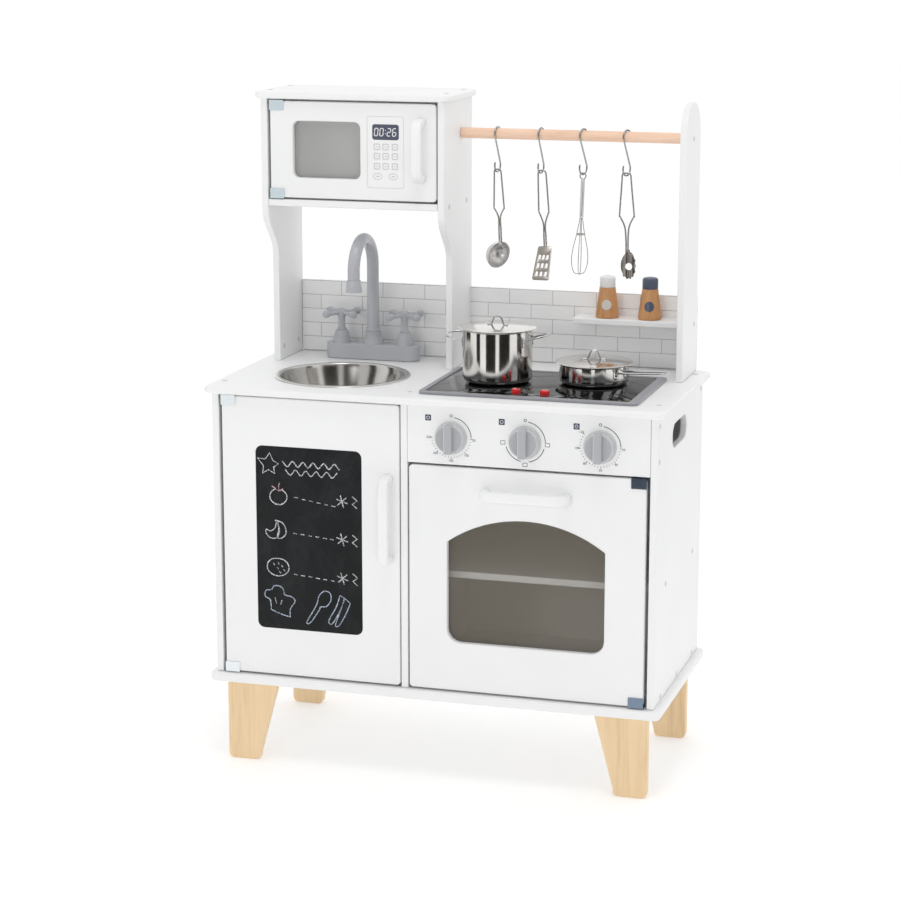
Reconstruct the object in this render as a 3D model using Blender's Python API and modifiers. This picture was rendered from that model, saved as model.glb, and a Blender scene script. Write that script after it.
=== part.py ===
"""Toy kitchen: a painted cabinet on four birch legs with a side-hung oven door, a cupboard door,
a microwave tower, a sink with a turning tap, a hob, a hanging rail and loose cookware.
Metres, +Z up, front towards -Y, origin on the floor under the middle of the whole."""

import math

import bmesh
import bpy
from mathutils import Matrix, Vector

# Overall size
WIDTH, DEPTH, HEIGHT = 0.600, 0.295, 0.862
BOARD = 0.009           # painted boards
PLINTH_BOARD = 0.012    # thicker board that carries the legs
BACK_BOARD = 0.005
GAP = 0.0003            # between pieces that touch

# Cabinet
LEG_HEIGHT = 0.109
PLINTH_BOTTOM = LEG_HEIGHT + GAP
PLINTH_TOP = PLINTH_BOTTOM + PLINTH_BOARD
WORKTOP_TOP = 0.500
WORKTOP_BOTTOM = WORKTOP_TOP - BOARD
SIDE_OUTER = 0.2905     # outer face of both side panels, from the middle
SIDE_INNER = SIDE_OUTER - BOARD
CABINET_FRONT, CABINET_BACK = -0.1395, 0.1395
DIVIDER_X = -0.0335
DIVIDER_RIGHT = DIVIDER_X + BOARD / 2
SHELF_TOP = 0.2735
PANEL_BOTTOM = 0.4175   # lower edge of the control panel
CARRY_HOLE = (-0.008, 0.450, 0.089, 0.031)   # y, z, length and height of the hole in each side

# Tower and back wall
TOWER_LEFT, TOWER_RIGHT = -0.2783, -0.0283   # outer faces of its two panels
TOWER_FRONT, TOWER_WAIST, TOWER_BACK = 0.018, 0.055, 0.1465
CURVE_TOP, CURVE_BOTTOM = 0.706, 0.645       # height span of the S in each panel's front edge
MICROWAVE_FLOOR = 0.722
TOWER_TOP = HEIGHT - BOARD
SLAB_OVERHANG = 0.0078
SPLASH_FRONT, SPLASH_BACK, SPLASH_TOP = 0.1410, 0.1470, 0.5985
POST_RIGHT, POST_FRONT, POST_TOP = 0.2803, 0.052, 0.8545
POST_LEFT = POST_RIGHT - BOARD - GAP
RAIL_Y, RAIL_Z, RAIL_R = 0.096, 0.808, 0.007
SPICE_LEFT, SPICE_FRONT, SPICE_TOP, SPICE_THICK = 0.122, 0.102, 0.5692, 0.0077

# Doors: left, right, bottom, top; each is flush with the panels' front edges
CABINET_DOOR = (-0.2775, -0.0395, 0.1238, 0.4885)
OVEN_DOOR = (-0.0272, 0.2770, 0.1238, 0.4145)
MICROWAVE_DOOR = (-0.2655, -0.0390, 0.7245, 0.8500)
OVEN_WINDOW = (0.0230, 0.2260, 0.1870, 0.3180, 0.0330)    # left, right, bottom, spring line, arch rise
MICROWAVE_WINDOW = (-0.2340, -0.1420, 0.7510, 0.8245)
PANE_LAP, PANE_THICK = 0.006, 0.002
PIN_INSET = 0.0055      # hinge pin from the door's side edge
CLIP_LENGTH, CLIP_HEIGHT, CLIP_WALL = 0.0195, 0.0120, 0.0009
PIN_R, PIN_HOLE_R, PIN_DEPTH = 0.0014, 0.0018, 0.0030

# Handles
HANDLE_LONG, HANDLE_SHORT, HANDLE_WIDE, HANDLE_PROUD, HANDLE_BAR = 0.1140, 0.0825, 0.0134, 0.0250, 0.0095

# Knobs
KNOB_Z, KNOB_PITCH, KNOB_R = 0.4520, 0.0950, 0.0205
KNOB_MIDDLE_X = 0.1235
KNOB_HOLE_R, KNOB_SHAFT_R = 0.0042, 0.0036

# Hob
HOB = (-0.0228, 0.2585, -0.1165, 0.0660)     # left, right, front, back of the grey rim
HOB_RIM_TOP, HOB_GLASS_TOP = 0.5037, 0.5031
HOB_TUB_BOTTOM, HOB_TUB_INSET, HOB_TUB_WALL = 0.4740, 0.0110, 0.0025
BUTTON_X, BUTTON_Y, BUTTON_R, BUTTON_TOP = (0.0975, 0.1345), -0.0880, 0.0058, 0.5085

# Sink and tap
SINK = (-0.1550, -0.0215)
SINK_RIM_R, SINK_HOLE_R, SINK_BOTTOM = 0.0888, 0.0830, 0.4520
TAP_Y, TAP_X, TAP_PITCH = 0.1050, -0.1545, 0.0447
TAP_BLOCK = (0.1305, 0.0260, 0.0208)         # length, depth and height of the block under the taps
TAP_TUBE_R, TAP_ARC_R, TAP_ARC_Z = 0.0081, 0.0395, 0.6276
TAP_SEAM = 0.5380                            # where the spout turns on the middle bell
CROSS_Z, CROSS_ARM, CROSS_TURN = 0.5610, 0.0258, math.radians(56)

# Cookware
POT = (0.0540, -0.0180)
PAN = (0.1760, 0.0020)
POT_R, LID_R, WALL = 0.0447, 0.0500, 0.0010
STAND = HOB_GLASS_TOP + GAP
POT_TOP, PAN_TOP = 0.5720, 0.5300
WIRE_R = 0.0012
POT_HANDLE_TURN, PAN_HANDLE_TURN = math.radians(-7.6), math.radians(-27.5)

# Hanging tools
HOOK_X = (0.0210, 0.0794, 0.1358, 0.1932)
HOOK_TURN = (0.16, 0.18, 0.33, 0.33)         # each hook's turn about the vertical, radians
HOOK_BEND, HOOK_DROP, HOOK_WIRE = 0.0088, 0.0410, 0.0011
TOOL_DROP = 0.0032                           # from a hook's lowest wire up to the loop that hangs on it
SHAKER_X, SHAKER_Y = (0.1645, 0.2215), 0.1210
SHAKER_FOOT_R, SHAKER_NECK_R, SHAKER_HEIGHT = 0.0155, 0.0104, 0.0550

PAINT = ("white_paint", (0.86, 0.87, 0.88), 0.45, 0.0)
BIRCH = ("birch", (0.80, 0.60, 0.36), 0.50, 0.0)
BEECH = ("beech_dowel", (0.83, 0.55, 0.34), 0.45, 0.0)
TURNED = ("turned_wood", (0.67, 0.38, 0.17), 0.42, 0.0)
GREY = ("grey_plastic", (0.32, 0.33, 0.35), 0.35, 0.0)
PALE_GREY = ("pale_grey_plastic", (0.44, 0.44, 0.46), 0.40, 0.0)
BLACK = ("black_glass", (0.01, 0.01, 0.012), 0.05, 0.0)
RED = ("red_plastic", (0.80, 0.03, 0.02), 0.30, 0.0)
STEEL = ("polished_steel", (0.75, 0.73, 0.70), 0.12, 1.0)
CHROME = ("chrome", (0.80, 0.82, 0.85), 0.08, 1.0)
CLEAR = ("clear_acrylic", (0.80, 0.82, 0.82), 0.05, 0.0)

for old in list(bpy.data.objects):
    bpy.data.objects.remove(old, do_unlink=True)
parts = bpy.data.collections.new("toy_kitchen")
cutters = bpy.data.collections.new("cutters")
for collection in (parts, cutters):
    bpy.context.scene.collection.children.link(collection)

# The boards are laid out about the middle of the cabinet. The handles stand out at the front only,
# so the whole is moved back by half of that to bring its middle over the origin.
kitchen = bpy.data.objects.new("kitchen", None)
kitchen.location.y = -(CABINET_FRONT - GAP - HANDLE_PROUD + DEPTH / 2) / 2
parts.objects.link(kitchen)


def material(finish):
    """The Principled material of a finish, made once."""
    name, colour, roughness, metallic = finish
    made = bpy.data.materials.get(name)
    if made is None:
        made = bpy.data.materials.new(name)
        made.use_nodes = True
        shader = made.node_tree.nodes["Principled BSDF"]
        shader.inputs["Base Color"].default_value = (*colour, 1.0)
        shader.inputs["Roughness"].default_value = roughness
        shader.inputs["Metallic"].default_value = metallic
    return made


def add(name, data, finish, at=(0, 0, 0), parent=None):
    """A named part from mesh or curve data, placed in its parent's frame."""
    part = bpy.data.objects.new(name, data)
    part.location = at
    parts.objects.link(part)
    data.materials.append(material(finish))
    part.parent = parent or kitchen
    return part


def pivot(name, at, parent=None):
    """An empty on a joint's axis, which the joint's pieces hang from."""
    empty = bpy.data.objects.new(name, None)
    empty.location = at
    empty.parent = parent or kitchen
    parts.objects.link(empty)
    return empty


# ---- Outlines: lists of (u, v) points -------------------------------------------------------------

def arc(cx, cy, radius, start, end, steps):
    """Points along an arc, angles in degrees."""
    turns = [math.radians(start + (end - start) * i / steps) for i in range(steps + 1)]
    return [(cx + radius * math.cos(t), cy + radius * math.sin(t)) for t in turns]


def round_rect(left, right, bottom, top, radius, steps=3):
    corners = ((right, bottom, -90), (right, top, 0), (left, top, 90), (left, bottom, 180))
    points = []
    for x, y, start in corners:
        cx = x - radius if x == right else x + radius
        cy = y - radius if y == top else y + radius
        points += arc(cx, cy, radius, start, start + 90, steps)
    return points


def circle(cx, cy, radius, steps=24):
    return arc(cx, cy, radius, 0, 360 - 360 / steps, steps - 1)


PLANES = {  # local x, y and z of an outline in world axes
    "XY": Matrix.Identity(4),
    "XZ": Matrix(((1, 0, 0, 0), (0, 0, -1, 0), (0, 1, 0, 0), (0, 0, 0, 1))),
    "YZ": Matrix(((0, 0, 1, 0), (1, 0, 0, 0), (0, 1, 0, 0), (0, 0, 0, 1))),
}


def plate_mesh(name, outlines, low, high, plane, edge=0.0008):
    """A flat plate through the given outlines (the first is its edge, the others are holes), with
    its two faces at low and high along the plane's normal, as a welded mesh."""
    curve = bpy.data.curves.new(name, "CURVE")
    curve.dimensions = "2D"
    curve.fill_mode = "BOTH"
    curve.extrude = (high - low) / 2 - edge
    curve.bevel_depth = edge
    curve.bevel_resolution = 0
    curve.offset = -edge
    for outline in outlines:
        spline = curve.splines.new("POLY")
        spline.points.add(len(outline) - 1)
        for point, (u, v) in zip(spline.points, outline):
            point.co = (u, v, 0, 1)
        spline.use_cyclic_u = True
    sign = -1 if plane == "XZ" else 1
    shift = Matrix.Translation((0, 0, sign * (low + high) / 2))
    return curve_to_mesh(curve, PLANES[plane] @ shift)


def curve_to_mesh(curve, matrix):
    """The mesh that a curve makes, with its caps welded on, and the curve removed."""
    guide = bpy.data.objects.new("guide", curve)
    bpy.context.scene.collection.objects.link(guide)
    graph = bpy.context.evaluated_depsgraph_get()
    mesh = bpy.data.meshes.new_from_object(guide.evaluated_get(graph))
    bpy.data.objects.remove(guide)
    work = bmesh.new()
    work.from_mesh(mesh)
    bmesh.ops.remove_doubles(work, verts=work.verts, dist=2e-6)
    bmesh.ops.transform(work, matrix=matrix, verts=work.verts)
    bmesh.ops.recalc_face_normals(work, faces=work.faces)
    work.to_mesh(mesh)
    work.free()
    return mesh


def plate(name, outlines, low, high, plane, finish=PAINT, edge=0.0008, parent=None, at=(0, 0, 0)):
    mesh = plate_mesh(name, outlines, low, high, plane, edge)
    mesh.transform(Matrix.Translation(-Vector(at)))
    return add(name, mesh, finish, at if parent is None else (0, 0, 0), parent)


def tube_mesh(points, radius, closed=False, sides=1):
    """A round wire along the points."""
    curve = bpy.data.curves.new("wire", "CURVE")
    curve.dimensions = "3D"
    curve.bevel_depth = radius
    curve.bevel_resolution = sides
    curve.use_fill_caps = not closed
    spline = curve.splines.new("POLY")
    spline.points.add(len(points) - 1)
    for point, place in zip(spline.points, points):
        point.co = (*place, 1)
    spline.use_cyclic_u = closed
    return curve_to_mesh(curve, Matrix.Identity(4))


def turned_mesh(profile, steps=32):
    """A solid of revolution about Z. The profile is (radius, z) pairs down the outside from the top of
    the axis, and back up the inside where the piece is hollow."""
    mesh = bpy.data.meshes.new("turned")
    work = bmesh.new()
    closed = profile[0][0] > 0
    ring = [work.verts.new((r, 0, z)) for r, z in profile]
    for a, b in zip(ring, ring[1:]):
        work.edges.new((a, b))
    if closed:
        work.edges.new((ring[-1], ring[0]))
    work.to_mesh(mesh)
    work.free()
    guide = bpy.data.objects.new("turned", mesh)
    bpy.context.scene.collection.objects.link(guide)
    screw = guide.modifiers.new("Screw", "SCREW")
    screw.steps = screw.render_steps = steps
    screw.use_merge_vertices = True
    screw.merge_threshold = 1e-6
    screw.use_normal_calculate = True
    graph = bpy.context.evaluated_depsgraph_get()
    made = bpy.data.meshes.new_from_object(guide.evaluated_get(graph))
    bpy.data.objects.remove(guide)
    work = bmesh.new()
    work.from_mesh(made)
    bmesh.ops.recalc_face_normals(work, faces=work.faces)
    work.to_mesh(made)
    work.free()
    made.shade_smooth()
    made.set_sharp_from_angle(angle=math.radians(40))
    return made


def box_mesh(low, high, edge=0.0):
    """A box between two corners, its edges chamfered by edge."""
    work = bmesh.new()
    bmesh.ops.create_cube(work, size=1.0)
    size = Vector(high) - Vector(low)
    bmesh.ops.scale(work, vec=size, verts=work.verts)
    bmesh.ops.translate(work, vec=(Vector(high) + Vector(low)) / 2, verts=work.verts)
    if edge:
        bmesh.ops.bevel(work, geom=work.edges, offset=edge, segments=1, affect="EDGES")
    mesh = bpy.data.meshes.new("box")
    work.to_mesh(mesh)
    work.free()
    return mesh


def ball_mesh(centre, radius, rows=6, columns=10):
    work = bmesh.new()
    bmesh.ops.create_uvsphere(work, u_segments=columns, v_segments=rows, radius=radius)
    bmesh.ops.translate(work, vec=Vector(centre), verts=work.verts)
    mesh = bpy.data.meshes.new("ball")
    work.to_mesh(mesh)
    work.free()
    return mesh


def moved(mesh, matrix):
    mesh.transform(matrix)
    return mesh


def combine(part, meshes, operation="UNION"):
    """Joins meshes to a part, or cuts them from it, by Booleans that stay on the part."""
    for number, mesh in enumerate(meshes):
        tool = bpy.data.objects.new(f"{part.name}.{operation.lower()}.{number}", mesh)
        tool.hide_render = True
        tool.display_type = "WIRE"
        cutters.objects.link(tool)
        tool.parent = part
        boolean = part.modifiers.new(f"{operation.title()} {number}", "BOOLEAN")
        boolean.operation = operation
        boolean.object = tool
        boolean.solver = "EXACT"
    return part


def pin_socket(x, y, z_from, z_to):
    """Cutter for the blind hole that a door's hinge pin turns in."""
    profile = [(0, z_to), (PIN_HOLE_R, z_to), (PIN_HOLE_R, z_from), (0, z_from)]
    return moved(turned_mesh(profile, 12), Matrix.Translation((x, y, 0)))


# ---- Cabinet --------------------------------------------------------------------------------------

DOOR_BACK = CABINET_FRONT + BOARD
CABINET_PIN_Y = (CABINET_FRONT + DOOR_BACK) / 2
MICROWAVE_PIN_Y = TOWER_FRONT + BOARD / 2
CABINET_PIN_X = CABINET_DOOR[0] + PIN_INSET
OVEN_PIN_X = OVEN_DOOR[1] - PIN_INSET
MICROWAVE_PIN_X = MICROWAVE_DOOR[0] + PIN_INSET


def legs():
    """Four tapered boards: the outer edge is upright and the inner edge slants."""
    top_wide, foot_wide, outer, thick = 0.0705, 0.0440, 0.2810, 0.0130
    for side, side_name in ((-1, "left"), (1, "right")):
        inner_top = outer - top_wide
        inner_foot = outer - foot_wide
        slant = math.atan2(inner_foot - inner_top, LEG_HEIGHT)
        foot_r = 0.0075
        outline = [(outer, LEG_HEIGHT), (inner_top, LEG_HEIGHT)]
        outline += arc(inner_foot + foot_r, foot_r, foot_r, 180 - math.degrees(slant), 270, 4)
        outline += arc(outer - foot_r, foot_r, foot_r, 270, 360, 4)
        outline = [(side * u, v) for u, v in outline]
        for front, end_name in ((-0.1280, "front"), (0.1160, "rear")):
            plate(f"leg_{end_name}_{side_name}", [outline], front, front + thick, "XZ", BIRCH, 0.0012)


def cabinet():
    plinth = plate("plinth_board", [round_rect(-0.299, 0.299, -0.1470, 0.1465, 0.009)],
                   PLINTH_BOTTOM, PLINTH_TOP, "XY", edge=0.002)
    combine(plinth, [pin_socket(x, CABINET_PIN_Y, PLINTH_TOP - PIN_DEPTH, PLINTH_TOP + 0.001)
                     for x in (CABINET_PIN_X, OVEN_PIN_X)], "DIFFERENCE")
    y, z, length, height = CARRY_HOLE
    hole = round_rect(y - length / 2, y + length / 2, z - height / 2, z + height / 2, height / 2 - 1e-5, 5)
    wall = round_rect(CABINET_FRONT, CABINET_BACK, PLINTH_TOP + GAP, WORKTOP_BOTTOM - GAP, 0.0012, 1)
    plate("side_panel_left", [wall, hole], -SIDE_OUTER, -SIDE_INNER, "YZ")
    plate("side_panel_right", [wall, hole], SIDE_INNER, SIDE_OUTER, "YZ")
    back_front = CABINET_BACK - BACK_BOARD
    divider = round_rect(CABINET_FRONT, back_front - GAP, PLINTH_TOP + GAP, WORKTOP_BOTTOM - GAP, 0.0012, 1)
    plate("centre_divider", [divider], DIVIDER_X - BOARD / 2, DIVIDER_RIGHT, "YZ")
    inside = SIDE_INNER - GAP
    plate("cabinet_back", [round_rect(-inside, inside, PLINTH_TOP + GAP, WORKTOP_BOTTOM - GAP, 0.001, 1)],
          back_front, CABINET_BACK, "XZ", edge=0.0004)
    plate("oven_shelf", [round_rect(DIVIDER_RIGHT + GAP, inside, -0.1120, back_front - GAP, 0.001, 1)],
          SHELF_TOP - BOARD, SHELF_TOP, "XY")
    knob_holes = [circle(KNOB_MIDDLE_X + i * KNOB_PITCH, KNOB_Z, KNOB_HOLE_R, 16) for i in (-1, 0, 1)]
    front = round_rect(DIVIDER_RIGHT + GAP, inside, PANEL_BOTTOM, WORKTOP_BOTTOM - GAP, 0.001, 1)
    plate("control_panel", [front] + knob_holes, CABINET_FRONT, DOOR_BACK, "XZ", edge=0.0006)


def worktop():
    """The top board with its round hole for the sink and its square one for the hob's tub."""
    left, right, front, back = HOB
    tub = round_rect(left + HOB_TUB_INSET - 0.001, right - HOB_TUB_INSET + 0.001,
                     front + HOB_TUB_INSET - 0.001, back - HOB_TUB_INSET + 0.001, 0.004, 2)
    edge = round_rect(-WIDTH / 2, WIDTH / 2, -DEPTH / 2, DEPTH / 2, 0.010, 4)
    board = plate("worktop", [edge, circle(*SINK, SINK_HOLE_R, 40), tub],
                  WORKTOP_BOTTOM, WORKTOP_TOP, "XY", edge=0.002)
    combine(board, [pin_socket(CABINET_PIN_X, CABINET_PIN_Y, WORKTOP_BOTTOM - 0.001,
                               WORKTOP_BOTTOM + PIN_DEPTH)], "DIFFERENCE")
    control = bpy.data.objects["control_panel"]
    combine(control, [pin_socket(OVEN_PIN_X, CABINET_PIN_Y, PANEL_BOTTOM - 0.001,
                                 PANEL_BOTTOM + PIN_DEPTH)], "DIFFERENCE")


# ---- Tower, back wall and rail --------------------------------------------------------------------

def tower_panel(name, low_x, high_x, lower_back):
    """A side of the tower: deep beside the microwave, and drawn back above the worktop by an S."""
    steps = 10
    outline = [(lower_back, WORKTOP_TOP + GAP)]
    if lower_back < TOWER_BACK:
        outline += [(lower_back, SPLASH_TOP + GAP), (TOWER_BACK, SPLASH_TOP + GAP)]
    outline += [(TOWER_BACK, TOWER_TOP - GAP), (TOWER_FRONT, TOWER_TOP - GAP)]
    for i in range(steps + 1):
        share = i / steps
        swing = (1 - math.cos(math.pi * share)) / 2
        outline.append((TOWER_FRONT + (TOWER_WAIST - TOWER_FRONT) * swing,
                        CURVE_TOP + (CURVE_BOTTOM - CURVE_TOP) * share))
    outline.append((TOWER_WAIST, WORKTOP_TOP + GAP))
    plate(name, [outline], low_x, high_x, "YZ")


def tower():
    left_in, right_in = TOWER_LEFT + BOARD + GAP, TOWER_RIGHT - BOARD - GAP
    tower_panel("tower_panel_left", TOWER_LEFT, TOWER_LEFT + BOARD, TOWER_BACK)
    tower_panel("tower_panel_right", TOWER_RIGHT - BOARD, TOWER_RIGHT, SPLASH_FRONT - GAP)
    slab = plate("tower_top", [round_rect(TOWER_LEFT - SLAB_OVERHANG, TOWER_RIGHT + SLAB_OVERHANG,
                                          TOWER_FRONT - SLAB_OVERHANG, DEPTH / 2, 0.012, 4)],
                 TOWER_TOP, HEIGHT, "XY", edge=0.002)
    combine(slab, [pin_socket(MICROWAVE_PIN_X, MICROWAVE_PIN_Y, TOWER_TOP - 0.001,
                              TOWER_TOP + PIN_DEPTH)], "DIFFERENCE")
    floor_back = TOWER_BACK - BACK_BOARD - GAP
    shelf = plate("microwave_floor", [round_rect(left_in, right_in, TOWER_FRONT, floor_back, 0.001, 1)],
                  MICROWAVE_FLOOR - BOARD, MICROWAVE_FLOOR, "XY")
    combine(shelf, [pin_socket(MICROWAVE_PIN_X, MICROWAVE_PIN_Y, MICROWAVE_FLOOR - PIN_DEPTH,
                               MICROWAVE_FLOOR + 0.001)], "DIFFERENCE")
    plate("microwave_back", [round_rect(left_in, right_in, MICROWAVE_FLOOR - BOARD, TOWER_TOP - GAP,
                                        0.001, 1)],
          TOWER_BACK - BACK_BOARD, TOWER_BACK, "XZ", edge=0.0004)


def back_wall():
    left = TOWER_LEFT + BOARD + GAP
    plate("backsplash", [round_rect(left, POST_RIGHT, WORKTOP_TOP + GAP, SPLASH_TOP, 0.0015, 1)],
          SPLASH_FRONT, SPLASH_BACK, "XZ")
    post_back = SPLASH_FRONT - GAP
    half = (post_back - POST_FRONT) / 2
    outline = [(POST_FRONT, WORKTOP_TOP + GAP), (post_back, WORKTOP_TOP + GAP)]
    outline += arc(POST_FRONT + half, POST_TOP - half, half, 0, 180, 14)
    plate("rail_post", [outline], POST_RIGHT - BOARD, POST_RIGHT, "YZ")
    length = POST_LEFT - TOWER_RIGHT - GAP
    profile = [(0, length), (RAIL_R, length), (RAIL_R, 0), (0, 0)]
    along = Matrix.Translation((TOWER_RIGHT + GAP, RAIL_Y, RAIL_Z)) @ Matrix.Rotation(math.pi / 2, 4, "Y")
    add("hanging_rail", moved(turned_mesh(profile, 20), along), BEECH)
    plate("spice_shelf", [round_rect(SPICE_LEFT, POST_LEFT, SPICE_FRONT, post_back, 0.003, 2)],
          SPICE_TOP - SPICE_THICK, SPICE_TOP, "XY")


# ---- Doors ----------------------------------------------------------------------------------------

def bow_handle(name, centre, length, upright, parent):
    """A D-shaped grip with two feet on the door's face. Its side outline has the finger gap in it."""
    half, inner = length / 2, length / 2 - HANDLE_BAR
    outer_r, inner_r = 0.016, 0.009
    proud, gap_depth = HANDLE_PROUD, HANDLE_PROUD - HANDLE_BAR
    outline = [(-half, 0.0)]
    outline += arc(-half + outer_r, proud - outer_r, outer_r, 180, 90, 4)
    outline += arc(half - outer_r, proud - outer_r, outer_r, 90, 0, 4)
    outline += [(half, 0.0), (inner, 0.0)]
    outline += arc(inner - inner_r, gap_depth - inner_r, inner_r, 0, 90, 3)
    outline += arc(-inner + inner_r, gap_depth - inner_r, inner_r, 90, 180, 3)
    outline += [(-inner, 0.0)]
    mesh = plate_mesh(name, [outline], -HANDLE_WIDE / 2, HANDLE_WIDE / 2, "XY", 0.0025)
    # Local x runs along the grip and local y stands out of the door, towards -Y.
    along, across = (Vector((0, 0, 1)), Vector((1, 0, 0))) if upright else (Vector((1, 0, 0)), Vector((0, 0, -1)))
    turn = Matrix((along, Vector((0, -1, 0)), across)).transposed().to_4x4()
    if turn.determinant() < 0:
        turn = Matrix((along, Vector((0, -1, 0)), -across)).transposed().to_4x4()
    mesh.transform(Matrix.Translation(Vector(centre) - parent.location) @ turn)
    return add(name, mesh, PAINT, (0, 0, 0), parent)


def hinge_clip(name, door, front, at_right, at_top, parent):
    """A chrome clip gripping a door's corner, with the pin that the door turns on."""
    left, right, bottom, top = door
    x0 = right + 0.0005 - CLIP_LENGTH if at_right else left - 0.0005
    x1 = x0 + CLIP_LENGTH
    sign = 1 if at_top else -1
    end = top if at_top else bottom
    y0, y1 = front - GAP - CLIP_WALL, front + BOARD + GAP + CLIP_WALL
    bridge = (end + sign * GAP, end + sign * (GAP + CLIP_WALL))
    reach = end - sign * CLIP_HEIGHT
    section = [(y0, reach), (y0, bridge[1]), (y1, bridge[1]), (y1, reach),
               (y1 - CLIP_WALL, reach), (y1 - CLIP_WALL, bridge[0]),
               (y0 + CLIP_WALL, bridge[0]), (y0 + CLIP_WALL, reach)]
    mesh = plate_mesh(name, [section], x0, x1, "YZ", 0.0001)
    mesh.transform(Matrix.Translation(-parent.location))
    clip = add(name, mesh, CHROME, (0, 0, 0), parent)
    pin_end = end + sign * (0.0025 + PIN_DEPTH - 0.0006)
    low, high = sorted((bridge[0] + sign * 0.0003, pin_end))
    pin = turned_mesh([(0, high), (PIN_R, high), (PIN_R, low), (0, low)], 12)
    combine(clip, [moved(pin, Matrix.Translation((0, 0, -parent.location.z)))])


def door_with_handle(prefix, door, front, pin_x, windows, handle_at, handle_length, upright, at_right):
    left, right, bottom, top = door
    parent = pivot(f"{prefix}_swing", (pin_x, front + BOARD / 2, (bottom + top) / 2))
    outlines = [round_rect(left, right, bottom, top, 0.005, 3)] + windows
    leaf = plate(f"{prefix}_door", outlines, front, front + BOARD, "XZ", parent=parent, at=parent.location,
                 edge=0.0012)
    face = front - GAP
    bow_handle(f"{prefix}_handle", (handle_at[0], face, handle_at[1]), handle_length, upright, parent)
    for at_top, level in ((True, "top"), (False, "bottom")):
        hinge_clip(f"{prefix}_hinge_{level}", door, front, at_right, at_top, parent)
    return leaf, parent


def arched_outline(left, right, bottom, spring, rise, radius, lap=0.0, steps=16):
    """A window with rounded lower corners and a shallow arched head."""
    half = (right - left) / 2
    arch_r = (half * half + rise * rise) / (2 * rise)
    middle, centre_z = (left + right) / 2, spring + rise - arch_r
    reach = math.degrees(math.asin(half / arch_r))
    points = arc(right - radius, bottom + radius, radius, -90, 0, 4)
    points += arc(middle, centre_z, arch_r, 90 - reach, 90 + reach, steps)
    points += arc(left + radius, bottom + radius, radius, 180, 270, 4)
    if not lap:
        return points
    centre = Vector((middle, (bottom + spring + rise) / 2))
    size = Vector((half, (spring + rise - bottom) / 2))
    return [((u - centre.x) * (1 + lap / size.x) + centre.x,
             (v - centre.y) * (1 + lap / size.y) + centre.y) for u, v in points]


def pane(name, outline, front, parent):
    """A clear sheet fixed behind a door's window."""
    low = front + BOARD + GAP
    plate(name, [outline], low, low + PANE_THICK, "XZ", CLEAR, 0.0002, parent, parent.location)


def doors():
    door_with_handle("cabinet", CABINET_DOOR, CABINET_FRONT, CABINET_PIN_X, [],
                     (-0.0547, 0.3423), HANDLE_LONG, True, False)
    oven_hole = arched_outline(*OVEN_WINDOW, 0.017)
    _, swing = door_with_handle("oven", OVEN_DOOR, CABINET_FRONT, OVEN_PIN_X, [oven_hole],
                                (0.1252, 0.3840), HANDLE_LONG, False, True)
    pane("oven_window", arched_outline(*OVEN_WINDOW, 0.017, PANE_LAP), CABINET_FRONT, swing)
    left, right, bottom, top = MICROWAVE_WINDOW
    hole = round_rect(left, right, bottom, top, 0.008, 4)
    _, swing = door_with_handle("microwave", MICROWAVE_DOOR, TOWER_FRONT, MICROWAVE_PIN_X, [hole],
                                (-0.0595, 0.7907), HANDLE_SHORT, True, False)
    cover = round_rect(left - PANE_LAP, right + PANE_LAP, bottom - PANE_LAP, top + PANE_LAP, 0.008, 2)
    pane("microwave_window", cover, TOWER_FRONT, swing)


# ---- Knobs, hob, sink and tap ---------------------------------------------------------------------

def knobs():
    """Dial knobs: a flange, a drum and a grip fin, on a shaft through the control panel."""
    lift = GAP
    profile = [(0, 0.0120), (0.0168, 0.0120), (0.0180, 0.0110), (0.0190, 0.0040), (KNOB_R - 0.0006, 0.0040),
               (KNOB_R, 0.0034), (KNOB_R, lift), (KNOB_SHAFT_R, lift), (KNOB_SHAFT_R, -0.0130), (0, -0.0130)]
    fin_low, fin_high = (-0.0052, -0.0185, 0.0030), (0.0052, 0.0185, 0.0190)
    outward = Matrix.Rotation(math.pi / 2, 4, "X")
    for index, name in ((-1, "knob_left"), (0, "knob_middle"), (1, "knob_right")):
        at = (KNOB_MIDDLE_X + index * KNOB_PITCH, CABINET_FRONT, KNOB_Z)
        knob = add(name, moved(turned_mesh(profile, 24), outward), PALE_GREY, at)
        combine(knob, [moved(box_mesh(fin_low, fin_high, 0.0018), outward)])


def hob():
    """A grey rim round a glass top, with the hollow tub under it that houses the switches."""
    left, right, front, back = HOB
    mesh = plate_mesh("hob", [round_rect(left, right, front, back, 0.008, 3)],
                      WORKTOP_TOP + GAP, HOB_RIM_TOP, "XY", 0.0008)
    body = add("hob", mesh, GREY)
    inset, wall = HOB_TUB_INSET, HOB_TUB_WALL
    tub = plate_mesh("tub", [round_rect(left + inset, right - inset, front + inset, back - inset, 0.003, 2)],
                     HOB_TUB_BOTTOM, WORKTOP_TOP + 0.0012, "XY", 0.0004)
    combine(body, [tub])
    hollow = box_mesh((left + inset + wall, front + inset + wall, HOB_TUB_BOTTOM - 0.001),
                      (right - inset - wall, back - inset - wall, WORKTOP_TOP - 0.0006))
    rim = 0.0100
    recess = box_mesh((left + rim, front + rim, HOB_GLASS_TOP), (right - rim, back - rim, HOB_RIM_TOP + 0.001))
    holes = []
    for x in BUTTON_X:
        bore = turned_mesh([(0, 0.52), (BUTTON_R + 0.0004, 0.52), (BUTTON_R + 0.0004, 0.49), (0, 0.49)], 20)
        holes.append(moved(bore, Matrix.Translation((x, BUTTON_Y, 0))))
    combine(body, [hollow, recess] + holes, "DIFFERENCE")


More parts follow.
